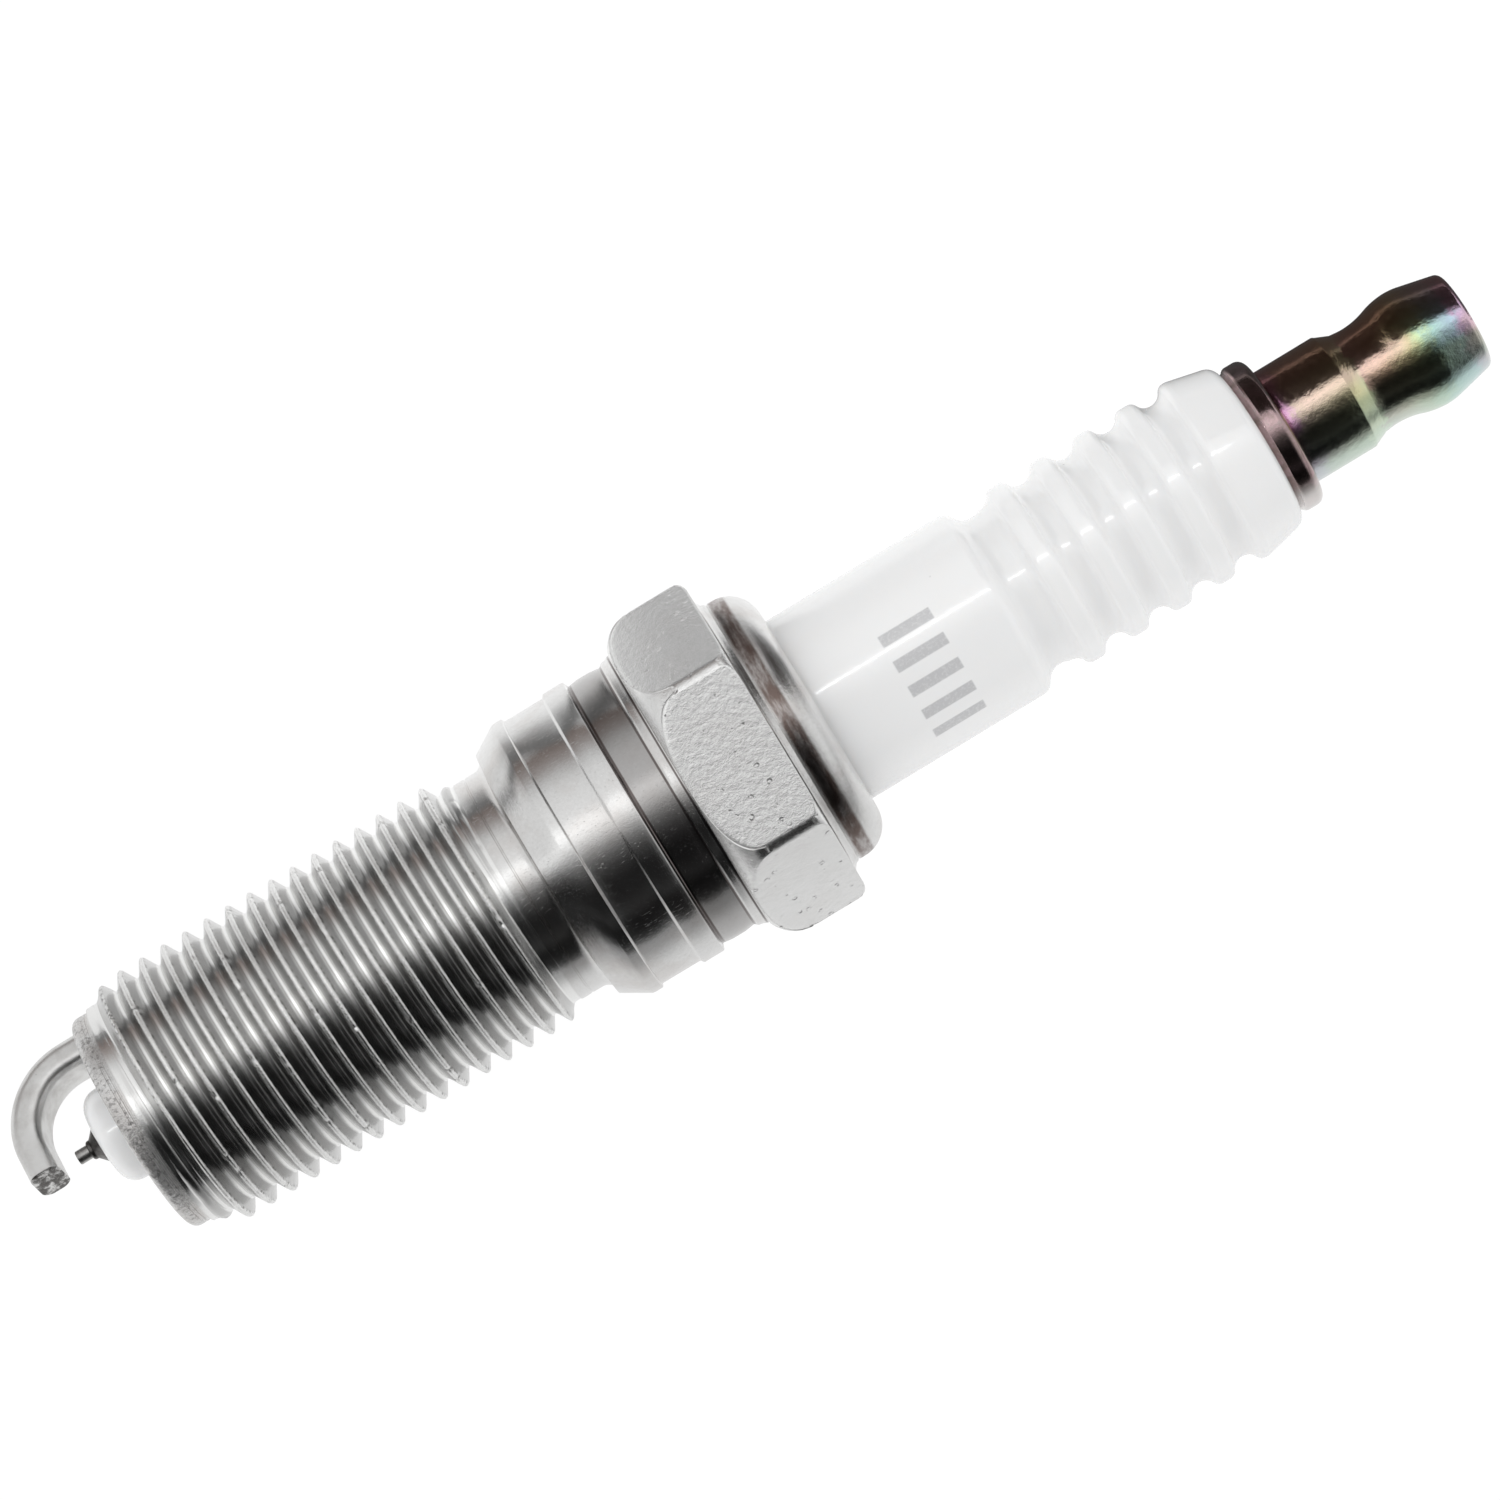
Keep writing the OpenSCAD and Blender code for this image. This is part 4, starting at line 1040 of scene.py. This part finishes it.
def black_flag():
    """A black card beside the terminal, seen only in reflections, with a faint warm glow."""
    (low, high), (near, far) = FLAG_ANGLES, FLAG_STATIONS
    mesh = bpy.data.meshes.new("flag")
    corners = []
    for station, degrees in ((near, low), (far, low), (far, high), (near, high)):
        angle = math.radians(degrees)
        corners.append((station * MM, FLAG_REACH * math.sin(angle) * MM, FLAG_REACH * math.cos(angle) * MM))
    mesh.from_pydata(corners, [], [(0, 1, 2, 3)])
    made = placed("flag", mesh)
    for ray in ("camera", "diffuse", "transmission", "shadow", "volume_scatter"):
        setattr(made, "visible_" + ray, False)
    card = Paint("black_card")
    extra = {"Emission Color": FLAG_GLOW_COLOUR, "Emission Strength": FLAG_GLOW}
    mesh.materials.append(card.finish(grey(0.01), 0.0, 1.0, **extra))


def surroundings():
    """A dim room for reflections, with a pale backdrop where the camera looks past the floor."""
    world = bpy.data.worlds.new("studio")
    bpy.context.scene.world = world
    world.use_nodes = True
    world.cycles.sampling_method = "NONE"
    n = Nodes(world.node_tree)
    parts = n.node("ShaderNodeSeparateXYZ", {0: n.node("ShaderNodeTexCoord").outputs["Generated"]}).outputs
    across = n.math("ARCTAN2", parts["Y"], parts["Z"])
    stops = []
    for degrees, level, warmth in ROOM_BANDS:
        shade = [level * (1 + (c - 1) * warmth) / BAND_TOP for c in WARM_SHADE]
        stops.append(((degrees + 180) / 360, shade))
    bands = n.ramp(n.math("MULTIPLY_ADD", across, 1 / TURN, 0.5), stops)
    firing_end = n.times(n.span(parts["X"], *FIRING_END), n.span(across, *FIRING_END_SIDE))
    for end in (n.span(parts["X"], *TERMINAL_END), firing_end):
        bands = n.mix(end, bands, grey(END_LEVEL / BAND_TOP))
    path = n.node("ShaderNodeLightPath").outputs
    level = n.span(path["Is Diffuse Ray"], 0, 1, ROOM_SEEN, ROOM_LIGHT)
    plain = n.node("ShaderNodeBackground", {"Color": grey(1), "Strength": level}).outputs[0]
    reflected = n.node("ShaderNodeBackground", {"Color": bands, "Strength": BAND_TOP}).outputs[0]
    choice = n.node("ShaderNodeMixShader", {0: path["Is Glossy Ray"], 1: plain, 2: reflected}).outputs[0]
    n.tree.links.new(choice, n.tree.nodes["World Output"].inputs["Surface"])


def floor_glow(p):
    """How bright the floor looks: by FLOOR_LEVELS and FLOOR_REGIONS in the metal, and evenly elsewhere."""
    evenly = p.node("ShaderNodeMapRange", {"Value": p.y, "From Min": -FLOOR_SPAN, "From Max": FLOOR_SPAN})
    stops = [((distance / FLOOR_SPAN + 1) / 2, grey(level)) for distance, level in FLOOR_LEVELS]
    p.colour = p.ramp(evenly.outputs["Result"], stops)
    for level, along, across in FLOOR_REGIONS:
        edges = [p.span(p.x, *edge) for edge in along] + [p.span(p.y, *edge) for edge in across]
        p.lay(grey(level), p.times(*edges))
    return p.mix(p.node("ShaderNodeLightPath").outputs["Is Glossy Ray"], grey(FLOOR_GLOW), p.colour)


def floor():
    """A plain pale table top at the height of the hex's lower flat."""
    mesh = bpy.data.meshes.new("floor")
    signs = ((-1, -1), (1, -1), (1, 1), (-1, 1))
    mesh.from_pydata([(x * FLOOR_HALF, y * FLOOR_HALF, FLOOR_Z) for x, y in signs], [], [(0, 1, 2, 3)])
    made = placed("floor", mesh)
    p = Paint("pale_floor")
    extra = {"Specular IOR Level": 0.0, "Emission Color": floor_glow(p), "Emission Strength": 1.0}
    mesh.materials.append(p.finish(grey(0.10), 0.0, 0.9, **extra))


# ---------- scene ----------

def put(piece, body, node, material):
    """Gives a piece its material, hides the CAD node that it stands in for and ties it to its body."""
    piece.data.materials.clear()
    piece.data.materials.append(material)
    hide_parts(node)
    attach(piece, body)
    return piece


def keep_node(node, material):
    """A CAD node that stays as it is takes a better material."""
    slots = frame["nodes"][node].data.materials
    for index in range(len(slots)):
        slots[index] = material
    if len(slots) == 0:
        slots.append(material)


def build():
    """Makes every piece and every kept node's material. Returns the insulator, which has its own light."""
    steel = plated_steel()
    nickel_dark = plain_metal("dark_nickel", (0.10, 0.095, 0.09), (0.24, 0.235, 0.23), 0.28, 0.42)
    wire_metal = plain_metal("iridium", (0.30, 0.295, 0.29), (0.52, 0.515, 0.50), 0.28, 0.42, 0.014)
    ring_steel = plain_metal("packing_steel", (0.50, 0.50, 0.50), (0.62, 0.62, 0.61), 0.30, 0.45)
    copper = plain_metal("copper", (0.62, 0.33, 0.20), (0.74, 0.44, 0.28), 0.25, 0.40)
    seal = powder("seal_glass", (0.10, 0.10, 0.12), (0.20, 0.20, 0.22), 9.0, 0.45)
    carbon = powder("resistor_carbon", (0.05, 0.05, 0.05), (0.12, 0.12, 0.12), 7.0, 0.75)
    talc = powder("talc", (0.76, 0.75, 0.70), (0.88, 0.87, 0.83), 8.0, 0.85)

    put(shell(), "plug", "shell", steel)
    glazed = put(insulator(), "plug", "insulator", glazed_ceramic())
    put(terminal_stud(), "plug", "terminal_stud", stud_steel())
    put(terminal_nut(), "nut", "terminal_nut", zinc_yellow())
    put(ground_electrode(), "plug", "ground_electrode", electrode_nickel())
    put(centre_electrode(), "plug", "centre_electrode", nickel_dark)
    put(tip_weld(), "plug", "tip_weld", nickel_dark)
    put(fine_wire(), "plug", "fine_wire", wire_metal)

    kept = {
        "seat_packing_ring": ring_steel, "lower_crimp_ring": ring_steel, "upper_crimp_ring": ring_steel,
        "upper_glass_seal": seal, "lower_glass_seal": seal, "resistor": carbon, "talc_fill": talc,
        "electrode_core": copper,
    }
    for node, material in kept.items():
        keep_node(node, material)
    return glazed


glazed_insulator = build()
floor()
surroundings()
strip_light(glazed_insulator)
black_flag()
camera()
bpy.context.scene.view_settings.view_transform = "Standard"
